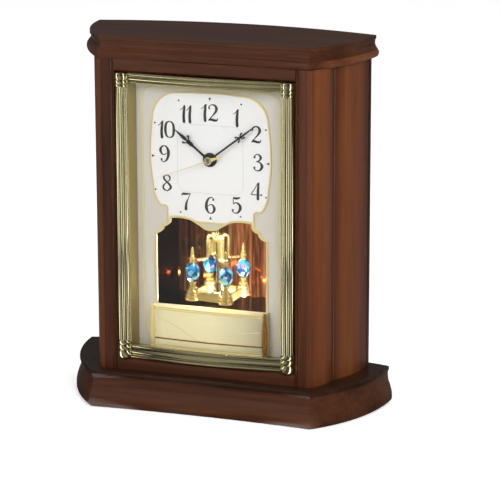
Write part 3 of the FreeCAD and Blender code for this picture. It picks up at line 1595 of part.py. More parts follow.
makePlinth()
makeTop()
makeSides()
makeBack()
makeColumns()
makeRails()
makeGlassAndLiner()
makeDial()
makeApron()
makeChamber()
makeMotionWork()
makeGoingTrain()
makeMovement()
makeElectrics()
makeHands()
makeDrive()
makePendulum()
makeDoor()
writeParts()
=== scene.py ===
import math
import bpy
from mathutils import Matrix, Vector


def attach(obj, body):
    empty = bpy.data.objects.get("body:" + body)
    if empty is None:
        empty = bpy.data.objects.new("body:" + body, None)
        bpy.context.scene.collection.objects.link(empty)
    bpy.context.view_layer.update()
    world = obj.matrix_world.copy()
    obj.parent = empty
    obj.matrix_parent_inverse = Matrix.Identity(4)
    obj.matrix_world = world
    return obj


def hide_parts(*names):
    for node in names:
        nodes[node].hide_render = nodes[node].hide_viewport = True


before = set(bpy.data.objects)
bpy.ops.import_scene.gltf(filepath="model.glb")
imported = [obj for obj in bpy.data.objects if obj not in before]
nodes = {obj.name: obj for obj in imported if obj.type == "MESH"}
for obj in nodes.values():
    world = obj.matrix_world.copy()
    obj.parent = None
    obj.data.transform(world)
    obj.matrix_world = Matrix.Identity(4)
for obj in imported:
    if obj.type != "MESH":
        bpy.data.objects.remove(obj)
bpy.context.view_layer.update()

mm = 0.001  # a number times mm is in metres; lengths without it are millimetres
print("frame loaded:", len(nodes), "pieces")


# colours and materials

def colour(code):
    # a colour as it looks on screen, turned to the linear values that shaders take
    out = []
    for at in (0, 2, 4):
        part = int(code[at:at + 2], 16) / 255
        out.append(part / 12.92 if part <= 0.04045 else ((part + 0.055) / 1.055) ** 2.4)
    return tuple(out) + (1.0,)


def greys(stops, share=1.0):
    # stops of plain grey for a ramp, from pairs of place and tone
    return [(at, (tone * share,) * 3 + (1.0,)) for at, tone in stops]


def toned(base, shares, lift=0.0):
    # a colour with each part scaled by its share, then lifted
    return tuple(part * share + lift for part, share in zip(base, shares)) + (1.0,)


class Wire:
    # one output of a node; sums written on it add Math nodes
    def __init__(self, look, socket):
        self.look = look
        self.socket = socket

    def maths(self, operation, first, second):
        return self.look.add("ShaderNodeMath", {"operation": operation}, {0: first, 1: second}).out()

    def __add__(self, other):
        return self.maths("ADD", self, other)

    def __radd__(self, other):
        return self.maths("ADD", other, self)

    def __sub__(self, other):
        return self.maths("SUBTRACT", self, other)

    def __rsub__(self, other):
        return self.maths("SUBTRACT", other, self)

    def __mul__(self, other):
        return self.maths("MULTIPLY", self, other)

    def __rmul__(self, other):
        return self.maths("MULTIPLY", other, self)

    def limited(self):
        return self.look.add("ShaderNodeClamp", {}, {"Value": self}).out()


class Added:
    # a node that was just put in a tree
    def __init__(self, look, node):
        self.look = look
        self.node = node

    def out(self, name=0):
        return Wire(self.look, self.node.outputs[name])


class Tree:
    # a tree of nodes and the ways in which nodes are added to it
    def __init__(self, tree):
        self.tree = tree

    def add(self, kind, settings, put):
        node = self.tree.nodes.new(kind)
        for key, value in settings.items():
            if key == "stops":
                self.stops(node.color_ramp, value)
            else:
                setattr(node, key, value)
        for key, value in put.items():
            self.feed(node.inputs[key], value)
        return Added(self, node)

    def stops(self, ramp, stops):
        while len(ramp.elements) < len(stops):
            ramp.elements.new(0.5)
        for element, (place, shade) in zip(ramp.elements, stops):
            element.position = place
            element.color = shade

    def feed(self, socket, value):
        if isinstance(value, Wire):
            self.tree.links.new(value.socket, socket)
        else:
            socket.default_value = value

    def place(self, scale=(1, 1, 1)):
        where = self.add("ShaderNodeTexCoord", {}, {}).out("Object")
        return self.add("ShaderNodeMapping", {}, {"Vector": where, "Scale": scale}).out()

    def along(self, axis):
        return self.add("ShaderNodeSeparateXYZ", {}, {0: self.place()}).out(axis)

    def noise(self, where, scale, detail, rough):
        put = {"Vector": where, "Scale": scale, "Detail": detail, "Roughness": rough}
        return self.add("ShaderNodeTexNoise", {}, put).out(0)

    def ramp(self, value, stops):
        return self.add("ShaderNodeValToRGB", {"stops": stops}, {0: value}).out()

    def bump(self, height, strength, distance):
        put = {"Height": height, "Strength": strength, "Distance": distance}
        return self.add("ShaderNodeBump", {}, put).out()

    def blend(self, factor, first, second, way="MIX"):
        settings = {"data_type": "RGBA", "blend_type": way}
        return self.add("ShaderNodeMix", settings, {0: factor, 6: first, 7: second}).out(2)


class Look(Tree):
    # a material with one surface shader
    def __init__(self, name):
        self.material = bpy.data.materials.new(name)
        self.material.use_nodes = True
        super().__init__(self.material.node_tree)
        self.surface = self.tree.nodes["Principled BSDF"]

    def finish(self, **put):
        for key, value in put.items():
            self.feed(self.surface.inputs[key.replace("_", " ")], value)
        return self.material


woodTones = {
    # dark, middle and light tone for the body, the side panels and the cap, and where on the grain each of
    # them lies; the side panels are lighter and the cap darker than the body
    "body": ("281208", "3f200f", "532f18"),
    "side": ("532a15", "663619", "744221"),
    "cap": ("180b05", "281409", "382110"),
    "grain": (0.30, 0.50, 0.72),
    "stretch": (26.0, 1.6),  # how fine the grain is across and along the board
    "roughness": 0.37,
    # painted light and shade over the stain: axis, where that starts, how far it runs, and the tone along the
    # run
    # painted shade on the side panels: darker at the front corner, deepest in the crease between the two
    # swells and toward the back edge
    "panelPaintedShade": ("Y", -39 * mm, 71 * mm,
                  ((0.00, 0.62), (0.05, 0.95), (0.18, 1.00), (0.29, 0.72), (0.36, 0.36), (0.42, 0.62),
                   (0.52, 1.00), (0.74, 0.92), (0.90, 0.55), (1.00, 0.34))),
    # painted light on the cornice bead: its side ends are painted 2.3 times lighter than its front
    "corniceEndsPaintedLight": ("X", -120 * mm, 240 * mm,
                    ((0.00, 2.30), (0.09, 2.30), (0.115, 1.00), (0.885, 1.00), (0.91, 2.30), (1.00, 2.30))),
}
# painted shade across the apron's gold: brightest a little right of the middle, darker toward both ends and
# most at the right end
apronPaintedShade = ("X", -48 * mm, 96 * mm, ((0.00, 0.80), (0.10, 1.00), (0.55, 1.04), (0.80, 0.84), (1.00, 0.52)))


def paintLightAlong(look, shade, paintedLight):
    # painted light and shade: multiply a colour by tones that change along one axis of the object
    axis, start, span, stops = paintedLight
    share = (look.along(axis) - start) * (1 / span)
    return look.blend(1.0, shade, look.ramp(share, greys(stops)), "MULTIPLY")


def lacqueredWood(name, along, tones, paintedLight=None):
    # dark stained wood under clear gloss lacquer; the grain runs along one axis, and painted light and shade
    # may be laid over the stain along an axis
    look = Look(name)
    across, lengthwise = woodTones["stretch"]
    stretch = [across] * 3
    stretch[along] = lengthwise
    where = look.place(tuple(stretch))
    broad = look.noise(where, 1.3, 4.0, 0.55)
    fine = look.noise(where, 11.0, 5.0, 0.6)
    grain = broad * 0.62 + fine * 0.38
    shade = look.ramp(grain, [(at, colour(tone)) for at, tone in zip(woodTones["grain"], tones)])
    # painted light and shade laid over the stain
    if paintedLight:
        shade = paintLightAlong(look, shade, paintedLight)
    pores = look.noise(where, 42.0, 2.0, 0.5)
    rough = pores * 0.10 + woodTones["roughness"]
    normal = look.bump(fine * 0.5 + pores * 0.5, 0.05, 0.0004)
    return look.finish(Base_Color=shade, Roughness=rough, Normal=normal, Specular_IOR_Level=0.15,
                       Coat_Weight=0.4, Coat_Roughness=0.16)


def rolledMetal(name, tone, rough, grainAxis=None, wear=0.04, metal=1.0, glow=0.0, paintedLight=None):
    # plated metal with faint handling marks, or brushed along one axis; it may carry painted light and shade
    # along an axis and a faint painted glow
    look = Look(name)
    stretch = [60.0, 60.0, 60.0]
    if grainAxis is not None:
        stretch = [900.0, 900.0, 900.0]
        stretch[grainAxis] = 20.0
    where = look.place(tuple(stretch))
    marks = look.noise(where, 1.0, 4.0, 0.6)
    base = colour(tone)
    shade = look.blend(marks * 0.22, base, toned(base, (0.72, 0.68, 0.58)))
    # painted light and shade laid over the metal's colour
    if paintedLight:
        shade = paintLightAlong(look, shade, paintedLight)
    # a faint painted glow: the metal gives out light of its own colour
    if glow:
        look.finish(Emission_Color=shade, Emission_Strength=glow)
    return look.finish(Base_Color=shade, Metallic=metal, Roughness=marks * wear + rough,
                       Normal=look.bump(marks, 0.03 if grainAxis is None else 0.12, 0.0002))


def mouldedPlastic(name, tone, rough):
    look = Look(name)
    where = look.place()
    speckle = look.noise(where, 1800.0, 2.0, 0.5)
    cloud = look.noise(where, 60.0, 2.0, 0.5)
    base = colour(tone)
    shade = look.blend(cloud * 0.3, base, toned(base, (0.7, 0.7, 0.7)))
    return look.finish(Base_Color=shade, Roughness=speckle * 0.1 + rough,
                       Normal=look.bump(speckle, 0.08, 0.0001))


def feltCloth():
    look = Look("feltPads")
    fibre = look.noise(look.place(), 2600.0, 4.0, 0.7)
    shade = look.ramp(fibre, [(0.3, colour("141414")), (0.7, colour("33312f"))])
    return look.finish(Base_Color=shade, Roughness=0.95, Normal=look.bump(fibre, 0.6, 0.0004))


def clearPane():
    # thin flat glass: only what it mirrors is solid, and that grows toward grazing angles
    look = Look("frontPane")
    facing = look.add("ShaderNodeFresnel", {}, {"IOR": 1.45}).out()
    smear = look.noise(look.place(), 30.0, 2.0, 0.5)
    return look.finish(Base_Color=(1, 1, 1, 1), Metallic=1.0, Roughness=smear * 0.01 + 0.002,
                       Alpha=(facing * 0.75).limited())


def champagneSheet():
    # satin pearl paint, faintly cloudy
    look = Look("champagneSheet")
    where = look.place()
    flake = look.noise(where, 2400.0, 2.0, 0.5)
    cloud = look.noise(where, 9.0, 2.0, 0.5)
    shade = look.ramp(cloud * 0.7 + flake * 0.3, [
        (0.25, colour("d9d4c2")),
        (0.55, colour("e2ded2")),
        (0.80, colour("e8e6dd")),
    ])
    return look.finish(Base_Color=shade, Metallic=0.08, Roughness=flake * 0.12 + 0.34,
                       Normal=look.bump(flake, 0.04, 0.0001))


def dialPaint():
    look = Look("dialPaint")
    grain = look.noise(look.place(), 1500.0, 3.0, 0.6)
    shade = look.blend(grain, colour("fafaf9"), colour("f5f5f3"))
    return look.finish(Base_Color=shade, Roughness=0.5, Normal=look.bump(grain, 0.04, 0.0001))


def printedInk(name, tone):
    look = Look(name)
    patch = look.noise(look.place(), 700.0, 2.0, 0.5)
    base = colour(tone)
    shade = look.blend(patch * 0.4, base, toned(base, (1.6, 1.6, 1.6), 0.01))
    return look.finish(Base_Color=shade, Roughness=0.42)


def tintedMirror(name, tone, rough):
    look = Look(name)
    haze = look.noise(look.place((1.0, 1.0, 0.2)), 120.0, 2.0, 0.5)
    base = colour(tone)
    shade = look.blend(haze * 0.35, base, toned(base, (0.5, 0.45, 0.4)))
    return look.finish(Base_Color=shade, Metallic=1.0, Roughness=haze * 0.04 + rough)


def amberMirror():
    # folded tinted mirror with a painted reflection: warm vertical streaks that glow by themselves, stronger
    # right of the middle
    look = Look("amberMirror")
    where = look.place((420.0, 420.0, 26.0))
    streak = look.noise(where, 1.0, 4.0, 0.65)
    broad = look.noise(look.place((70.0, 70.0, 9.0)), 1.0, 3.0, 0.5)
    stops = greys(((0.05, 0.10), (0.42, 0.16), (0.56, 0.75), (0.80, 1.0), (0.95, 0.6)))
    reflectionLean = look.ramp(look.along("X") * 10.0 + 0.5, stops)
    tone = look.ramp(streak * 0.6 + broad * 0.4, [
        (0.34, colour("1c0c06")),
        (0.43, colour("5c3018")),
        (0.51, colour("9a5c30")),
        (0.60, colour("d2935a")),
        (0.68, colour("f6dca4")),
    ])
    # the painted reflection, given out as glow
    glow = look.blend(1.0, tone, reflectionLean, "MULTIPLY")
    return look.finish(Base_Color=colour("6a4024"), Metallic=1.0, Roughness=broad * 0.04 + 0.05,
                       Emission_Color=glow, Emission_Strength=1.2)


def cutCrystal():
    # coated crystal: each facet picks its own blue, with a few pale and violet ones that are partly the
    # coating's colour and partly painted highlights; the facets also glow faintly, a painted glow
    look = Look("cutCrystal")
    where = look.place()
    cells = look.add("ShaderNodeTexVoronoi", {}, {"Vector": where, "Scale": 260.0}).out("Color")
    pick = look.add("ShaderNodeSeparateColor", {}, {0: cells}).out(0)
    shade = look.ramp(pick, [
        (0.00, colour("07224e")),
        (0.25, colour("0a5a96")),
        (0.48, colour("2090b8")),
        (0.66, colour("5ec0d6")),
        (0.84, colour("c8ecf2")),
        (0.94, colour("9a86c8")),
    ])
    return look.finish(Base_Color=shade, Metallic=0.35, Roughness=0.06, Coat_Weight=1.0, Coat_Roughness=0.02,
                       Emission_Color=shade, Emission_Strength=0.09)


# the side panels carry painted shade along their depth
woodSide = lacqueredWood("lacqueredSide", 2, woodTones["side"], woodTones["panelPaintedShade"])
woodUpright = lacqueredWood("lacqueredUpright", 2, woodTones["body"])
woodAcross = lacqueredWood("lacqueredAcross", 0, woodTones["body"])
woodCap = lacqueredWood("lacqueredCap", 0, woodTones["cap"])
# the cornice bead carries painted light at its side ends
woodCorniceLitEnds = lacqueredWood("lacqueredCorniceLitEnds", 0, woodTones["body"], woodTones["corniceEndsPaintedLight"])
brassPolished = rolledMetal("brassPolished", "dcd3a4", 0.07)
# the pendulum brass glows faintly by itself: painted light
brassBright = rolledMetal("brassBright", "eed588", 0.14, metal=0.75, glow=0.03)
goldSatin = rolledMetal("goldSatin", "b9a975", 0.34, 2)
# the apron's gold carries painted shade toward its ends
goldApron = rolledMetal("goldApron", "fdf3c6", 0.36, 0, metal=0.12, paintedLight=apronPaintedShade)
goldLine = rolledMetal("goldLine", "efe3ae", 0.4, metal=0.1)
goldTrim = rolledMetal("goldTrim", "f6e39a", 0.3, metal=0.25)
# the amber gold glows faintly by itself: painted light
goldAmber = rolledMetal("goldAmber", "b98428", 0.22, metal=0.8, glow=0.08)
wheelBrass = rolledMetal("wheelBrass", "b8984c", 0.3, 0)
steelBright = rolledMetal("steelBright", "b9babd", 0.28, 2)
copperWire = rolledMetal("copperWire", "a8552a", 0.3, 2)
champagne = champagneSheet()
dialWhite = dialPaint()
inkDark = printedInk("inkDark", "2e2a28")
inkFaint = printedInk("inkFaint", "cfcfce")
handBlack = printedInk("handBlack", "161312")
glassPane = clearPane()
mirrorAmber = amberMirror()
mirrorDark = tintedMirror("mirrorDark", "4a3626", 0.04)
mirrorFloor = tintedMirror("mirrorFloor", "4b4238", 0.06)
blackPlastic = mouldedPlastic("blackPlastic", "1c1c1e", 0.42)
greyPlastic = mouldedPlastic("greyPlastic", "3a3a3d", 0.4)
boardGreen = mouldedPlastic("boardGreen", "1d5a33", 0.3)
cellJacket = mouldedPlastic("cellJacket", "2f3136", 0.25)
darkBoard = mouldedPlastic("darkBoard", "1a110c", 0.5)
felt = feltCloth()
crystalBlue = cutCrystal()

finishes = (
    (woodSide, ("left_side_panel", "right_side_panel")),
    (woodUpright, ("left_stile", "right_stile", "back_panel", "rear_door")),
    (woodAcross, ("plinth_base", "top_board", "head_rail", "foot_rail")),
    (woodCap, ("plinth_cap",)),
    (woodCorniceLitEnds, ("cornice_bead",)),
    (brassPolished, ("left_column", "right_column", "bezel_top_rail", "bezel_bottom_rail", "pendulum_spindle",
                     "fixed_hinge_leaves", "door_hinge_leaves", "door_catch")),
    (brassBright, ("pendulum_posts", "pendulum_frame", "pendulum_crown")),
    (goldTrim, ("window_trim", "dial_border", "second_hand")),
    (goldSatin, ("left_liner", "right_liner", "liner_strips")),
    (goldApron, ("apron",)),
    (wheelBrass, ("cannon_pinion", "hour_wheel", "minute_wheel", "centre_wheel", "second_wheel",
                  "third_wheel", "intermediate_wheel", "drive_pinion")),
    (steelBright, ("rotor", "back_panel_screws", "battery_contacts")),
    (copperWire, ("motor_coil",)),
    (champagne, ("dial_panel",)),
    (dialWhite, ("dial_plate",)),
    (glassPane, ("front_glass",)),
    (mirrorAmber, ("chamber_back_mirror",)),
    (mirrorDark, ("chamber_side_mirrors",)),
    (mirrorFloor, ("chamber_floor",)),
    (darkBoard, ("chamber_ceiling",)),
    (blackPlastic, ("movement_case", "drive_case", "movement_nut")),
    (greyPlastic, ("movement_cover", "set_knob")),
    (boardGreen, ("circuit_board",)),
    (cellJacket, ("battery",)),
    (felt, ("felt_pads",)),
    (crystalBlue, ("pendulum_crystals",)),
    (handBlack, ("hour_hand", "minute_hand")),
)
for material, names in finishes:
    for name in names:
        mesh = nodes[name].data
        mesh.materials.clear()
        mesh.materials.append(material)
print("materials ready")


# mesh helpers

def piece(name, verts, faces, material, body, smooth=False):
    mesh = bpy.data.meshes.new(name)
    mesh.from_pydata([tuple(v) for v in verts], [], faces)
    mesh.validate()
    mesh.materials.append(material)
    thing = bpy.data.objects.new(name, mesh)
    bpy.context.scene.collection.objects.link(thing)
    if smooth:
        mesh.shade_smooth()
    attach(thing, body)
    return thing


def thicken(thing, thick):
    # give a flat sheet, drawn facing the front, its thickness toward the back
    solid = thing.modifiers.new("thick", "SOLIDIFY")
    solid.thickness = thick
    solid.offset = 1.0


def spline(points, steps):
    # a smooth run through points of any length of tuple
    out = []
    last = len(points) - 1
    for index in range(last):
        p0 = points[max(index - 1, 0)]
        p1 = points[index]
        p2 = points[index + 1]
        p3 = points[min(index + 2, last)]
        for step in range(steps):
            t = step / steps
            row = []
            for a, b, c, d in zip(p0, p1, p2, p3):
                row.append(0.5 * (2 * b + (c - a) * t + (2 * a - 5 * b + 4 * c - d) * t * t
                                  + (3 * b - a - 3 * c + d) * t * t * t))
            out.append(tuple(row))
    out.append(tuple(points[last]))
    return out


def strokeFaces(run, verts, faces, shape):
    # a ribbon of changing width along a flat run of (x, y, width)
    start = len(verts)
    count = len(run)
    for index, (x, y, wide) in enumerate(run):
        before = run[max(index - 1, 0)]
        after = run[min(index + 1, count - 1)]
        dx = after[0] - before[0]
        dy = after[1] - before[1]
        long = math.hypot(dx, dy) or 1.0
        side = (-dy / long * wide / 2, dx / long * wide / 2)
        verts.append(shape(x + side[0], y + side[1]))
        verts.append(shape(x - side[0], y - side[1]))
    for index in range(count - 1):
        a = start + index * 2
        faces.append((a, a + 1, a + 3, a + 2))


def dotFaces(x, y, radius, verts, faces, shape, sides=14):
    start = len(verts)
    for index in range(sides):
        turn = 2 * math.pi * index / sides
        verts.append(shape(x + radius * math.cos(turn), y + radius * math.sin(turn)))
    faces.append(tuple(range(start, start + sides)))


def endFaces(rows, around):
    return [tuple(reversed(range(around))), tuple(range((rows - 1) * around, rows * around))]


def tubeFaces(rows, around, closed=False):
    # faces between rows of points; the last row joins the first one, or else both ends are shut
    faces = []
    for row in range(rows if closed else rows - 1):
        low = row * around
        high = (row + 1) % rows * around
        for k in range(around):
            after = (k + 1) % around
            faces.append((low + k, low + after, high + after, high + k))
    return faces if closed else faces + endFaces(rows, around)


def sweep(name, path, section, material, body, closed=False):
    # a section carried along a path in space; the section lies in (side, up)
    verts = []
    count = len(path)
    for index, spot in enumerate(path):
        before = Vector(path[(index - 1) % count if closed else max(index - 1, 0)])
        after = Vector(path[(index + 1) % count if closed else min(index + 1, count - 1)])
        along = (after - before).normalized()
        up = Vector((0, -1, 0))
        side = along.cross(up).normalized()
        lift = side.cross(along).normalized()
        for a, b in section:
            verts.append(Vector(spot) + side * a + lift * b)
    return piece(name, verts, tubeFaces(count, len(section), closed), material, body, True)


def roundSection(radius, sides, flat):
    return [(radius * math.cos(2 * math.pi * k / sides), radius * flat * math.sin(2 * math.pi * k / sides))
            for k in range(sides)]


def lathe(name, profile, centre, axis, material, body, sides=48, smooth=True):
    # (radius, along) turned about an axis; along runs from the centre point
    axis = Vector(axis)
    spin = Vector((0, 0, 1)).rotation_difference(axis)
    verts = []
    faces = []
    rings = []
    for radius, along in profile:
        if radius == 0:
            rings.append([len(verts)])
            verts.append(Vector(centre) + spin @ Vector((0, 0, along)))
            continue
        ring = []
        for k in range(sides):
            turn = 2 * math.pi * k / sides
            ring.append(len(verts))
            spoke = Vector((radius * math.cos(turn), radius * math.sin(turn), along))
            verts.append(Vector(centre) + spin @ spoke)
        rings.append(ring)
    for low, high in zip(rings, rings[1:]):
        for k in range(sides):
            a = low[k % len(low)]
            b = low[(k + 1) % len(low)]
            c = high[(k + 1) % len(high)]
            d = high[k % len(high)]
            face = []
            for v in (a, b, c, d):
                if v not in face:
                    face.append(v)
            if len(face) > 2:
                faces.append(tuple(face))
    return piece(name, verts, faces, material, body, smooth)


# dial: numbers, marks and lines

dial = {
    "centre": 204.2 * mm,
    "front": -23.05 * mm,
    "numberHigh": 13.2 * mm,
    "ink": 0.06 * mm,  # how far the front of the ink stands off the plate
    "inkThick": 0.054 * mm,
    "numbers": {
        "12": (0, 241.8), "1": (22.0, 239.3), "2": (38.2, 226.9), "3": (39.8, 204.7), "4": (38.1, 182.1),
        "5": (21.7, 169.3), "6": (0, 167.4), "7": (-20.4, 169.4), "8": (-36.5, 182.9), "9": (-38.5, 206.3),
        "10": (-36.4, 226.2), "11": (-19.8, 239.8),
    },
    # how wide a digit is and where it starts, as shares of the height; a 1 is narrower
    "digit": (0.70, 0.02),
    "digitOne": (0.38, 0.22),
    "roundedFrom": 0.1,  # a stroke that ends wider than this share ends round
    "dots": ((26.0, 250.0), (46.3, 231.0), (46.3, 177.0), (25.2, 160.0)),
    "dotRound": 0.72,
    "wedges": ((0, 252.4, 0), (47.9, 204.2, 90), (0, 157.0, 180), (-47.9, 204.2, 270)),
    "wedge": 1.5 * mm,
    "wedgeShape": ((-0.75, 0.8), (0.0, -0.9), (0.75, 0.8)),
    "innerHalf": (27.3 * mm, 27.4 * mm),
    "innerRound": 8.0 * mm,
    "innerWide": 0.3 * mm,
    "innerRise": 0.03 * mm,
}

digitStrokes = {
    "0": [[(0.37, 1.0, 0.05), (0.17, 0.88, 0.12), (0.10, 0.5, 0.17), (0.17, 0.12, 0.12), (0.37, 0.0, 0.05)],
          [(0.37, 0.0, 0.05), (0.57, 0.12, 0.12), (0.64, 0.5, 0.17), (0.57, 0.88, 0.12), (0.37, 1.0, 0.05)]],
    "1": [[(0.20, 0.70, 0.03), (0.36, 0.80, 0.05), (0.50, 1.0, 0.07)],
          [(0.53, 1.0, 0.06), (0.47, 0.72, 0.15), (0.44, 0.35, 0.17), (0.46, 0.0, 0.17)]],
    "2": [[(0.14, 0.76, 0.12), (0.14, 0.88, 0.06), (0.32, 0.99, 0.06), (0.52, 0.93, 0.13), (0.60, 0.75, 0.17),
           (0.53, 0.55, 0.13), (0.34, 0.32, 0.07), (0.12, 0.07, 0.06)],
          [(0.08, 0.03, 0.06), (0.26, 0.09, 0.14), (0.46, 0.05, 0.15), (0.62, 0.07, 0.10),
           (0.67, 0.20, 0.03)]],
    "3": [[(0.15, 0.80, 0.13), (0.20, 0.93, 0.06), (0.38, 0.99, 0.07), (0.54, 0.82, 0.15), (0.44, 0.62, 0.09),
           (0.26, 0.55, 0.05)],
          [(0.26, 0.55, 0.05), (0.48, 0.50, 0.08), (0.62, 0.28, 0.18), (0.50, 0.05, 0.11), (0.30, 0.0, 0.06),
           (0.15, 0.09, 0.07), (0.14, 0.18, 0.13)]],
    "4": [[(0.50, 0.98, 0.05), (0.28, 0.60, 0.05), (0.05, 0.25, 0.05)],
          [(0.05, 0.25, 0.07), (0.36, 0.24, 0.05), (0.66, 0.25, 0.04), (0.70, 0.25, 0.12)],
          [(0.54, 1.0, 0.10), (0.50, 0.6, 0.15), (0.49, 0.3, 0.17), (0.49, 0.0, 0.17)]],
    "5": [[(0.20, 0.98, 0.06), (0.18, 0.78, 0.05), (0.17, 0.55, 0.05)],
          [(0.18, 0.92, 0.10), (0.36, 0.90, 0.14), (0.54, 0.94, 0.10), (0.62, 0.99, 0.03)],
          [(0.17, 0.55, 0.05), (0.36, 0.64, 0.07), (0.56, 0.52, 0.14), (0.62, 0.30, 0.18),
           (0.48, 0.05, 0.11), (0.28, 0.0, 0.06), (0.14, 0.09, 0.07), (0.14, 0.18, 0.13)]],
    "6": [[(0.55, 0.84, 0.13), (0.53, 0.94, 0.06), (0.40, 0.99, 0.06), (0.22, 0.85, 0.12), (0.12, 0.58, 0.17),
           (0.12, 0.30, 0.18), (0.24, 0.06, 0.10), (0.38, 0.0, 0.06)],
          [(0.38, 0.0, 0.06), (0.54, 0.08, 0.11), (0.62, 0.28, 0.17), (0.54, 0.48, 0.11), (0.38, 0.55, 0.06),
           (0.20, 0.44, 0.04)]],
    "7": [[(0.09, 0.80, 0.03), (0.11, 0.90, 0.08), (0.20, 0.93, 0.14), (0.38, 0.93, 0.13),
           (0.64, 0.97, 0.05)],
          [(0.64, 0.97, 0.05), (0.50, 0.66, 0.06), (0.38, 0.36, 0.13), (0.35, 0.0, 0.18)]],
    "8": [[(0.38, 1.0, 0.06), (0.20, 0.91, 0.10), (0.18, 0.74, 0.12), (0.36, 0.56, 0.11), (0.55, 0.38, 0.14),
           (0.60, 0.20, 0.14), (0.38, 0.0, 0.06)],
          [(0.38, 0.0, 0.06), (0.15, 0.12, 0.11), (0.14, 0.30, 0.11), (0.30, 0.50, 0.06), (0.52, 0.66, 0.07),
           (0.55, 0.86, 0.10), (0.38, 1.0, 0.06)]],
}
digitStrokes["9"] = [[(0.74 - x, 1.0 - y, w) for x, y, w in stroke] for stroke in digitStrokes["6"]]


def onDial(x, z, lift=0.0):
    return (x, dial["front"] - dial["ink"] - lift, z)


def dialNumber(text, centre):
    tall = dial["numberHigh"]
    sizes = [dial["digitOne"] if digit == "1" else dial["digit"] for digit in text]
    left = centre[0] * mm - sum(wide for wide, _ in sizes) * tall / 2
    low = centre[1] * mm - tall / 2
    verts = []
    faces = []
    for digit, (wide, bearing) in zip(text, sizes):
        start = left - bearing * tall

        def place(x, y):
            return onDial(start + x * tall, low + y * tall)

        for stroke in digitStrokes[digit]:
            run = spline(stroke, 8)
            strokeFaces(run, verts, faces, place)
            for x, y, w in (run[0], run[-1]):
                if w > dial["roundedFrom"]:
                    dotFaces(x, y, w / 2, verts, faces, place)
        left += wide * tall
    thicken(piece("number_" + text, verts, faces, inkDark, "case"), -dial["inkThick"])


def roundedSquare(halfWide, halfHigh, corner, steps=8):
    points = []
    for cx, cz, start in ((1, 1, 0), (-1, 1, 90), (-1, -1, 180), (1, -1, 270)):
        for step in range(steps + 1):
            turn = math.radians(start + 90 * step / steps)
            points.append((cx * (halfWide - corner) + corner * math.cos(turn),
                           cz * (halfHigh - corner) + corner * math.sin(turn)))
    return points


def dialMarks():
    verts = []
    faces = []
    for x, z in dial["dots"]:
        for side in (-1, 1):
            dotFaces(side * x * mm, z * mm, dial["dotRound"] * mm, verts, faces, onDial)
    for x, z, turn in dial["wedges"]:
        spin = math.radians(turn)
        start = len(verts)
        for a, b in dial["wedgeShape"]:
            ax = a * math.cos(spin) + b * math.sin(spin)
            az = -a * math.sin(spin) + b * math.cos(spin)
            verts.append(onDial(x * mm + ax * dial["wedge"], z * mm + az * dial["wedge"]))
        faces.append((start, start + 1, start + 2))
    thicken(piece("dialMarks", verts, faces, inkDark, "case"), -dial["inkThick"])


def dialInnerLine():
    outline = roundedSquare(*dial["innerHalf"], dial["innerRound"])
    half = dial["innerWide"] / 2
    rise = dial["innerRise"]
    path = [onDial(x, z + dial["centre"], -rise) for x, z in outline]
    sweep("dialInnerLine", path, [(-half, 0), (half, 0), (half, rise), (-half, rise)], inkFaint, "case",
          True)


for text, centre in dial["numbers"].items():
    dialNumber(text, centre)
dialMarks()
dialInnerLine()
print("dial drawn")


# hands

hands = {
    # strokes are (across, along the hand, width); twigs branch off to both sides
    "hourHand": {
        "node": "hour_hand", "body": "hour_arbor", "turn": -51.3, "front": 25.7,
        "strokes": (((0, 3.4, 2.4), (0, 8, 1.7), (0, 17, 1.7), (0, 20, 2.6), (0, 23.5, 2.2)),
                    ((0, 23.5, 1.2), (0, 27, 2.7), (0, 31, 1.9), (0, 36.0, 0.4))),
        "twigs": (((0, 21.2, 0.9), (1.62, 22.82, 0.8), (3.06, 24.26, 1.1), (3.6, 24.8, 0.5)),
                  ((0, 21.56, 0.9), (1.26, 19.58, 0.7), (1.08, 17.6, 0.3))),
        "dots": ((0, 0, 5.0), (3.3, 25.0, 0.9), (-3.3, 25.0, 0.9), (0, 21.8, 1.7)),
    },
    "minuteHand": {
        "node": "minute_hand", "body": "minute_arbor", "turn": 52.5, "front": 27.4,
        "strokes": (((0, 2.6, 2.0), (0, 10, 1.5), (0, 28, 1.5), (0, 33, 1.7)),
                    ((0, 33, 1.3), (0, 36, 1.5), (0, 44, 1.2), (0, 49.5, 0.6))),
        "twigs": (((0, 33.5, 1.0), (1.4, 34.8, 1.0), (2.3, 36.6, 0.7)),
                  ((0, 33.0, 1.0), (1.5, 31.4, 0.9), (2.2, 30.0, 0.7))),
        "dots": ((0, 0, 3.2), (1.9, 36.2, 0.8), (-1.9, 36.2, 0.8), (2.0, 30.4, 0.8), (-2.0, 30.4, 0.8)),
    },
}
handThick = 0.5 * mm
handHub = {
    "front": -28.0 * mm,
    "bore": 0.62 * mm,
    "rim": 0.3 * mm,
    "round": 3.276 * mm,
    "high": 3.0 * mm,
    "steps": 8,
}


def makeHand(name):
    hand = hands[name]
    turn = math.radians(hand["turn"])
    strokes = list(hand["strokes"])
    for side in (-1, 1):
        strokes += [[(side * x, y, wide) for x, y, wide in twig] for twig in hand["twigs"]]

    def place(x, y):
        # x across and y along the hand, turned clockwise as the reader sees it
        return (mm * (x * math.cos(turn) + y * math.sin(turn)), -hand["front"] * mm - handThick,
                dial["centre"] + mm * (y * math.cos(turn) - x * math.sin(turn)))

    verts = []
    faces = []
    for stroke in strokes:
        strokeFaces(spline(stroke, 10), verts, faces, place)
    for x, y, radius in hand["dots"]:
        dotFaces(x, y, radius, verts, faces, place)
    thing = piece(name, verts, faces, handBlack, hand["body"])
    thicken(thing, -handThick)
    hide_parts(hand["node"])


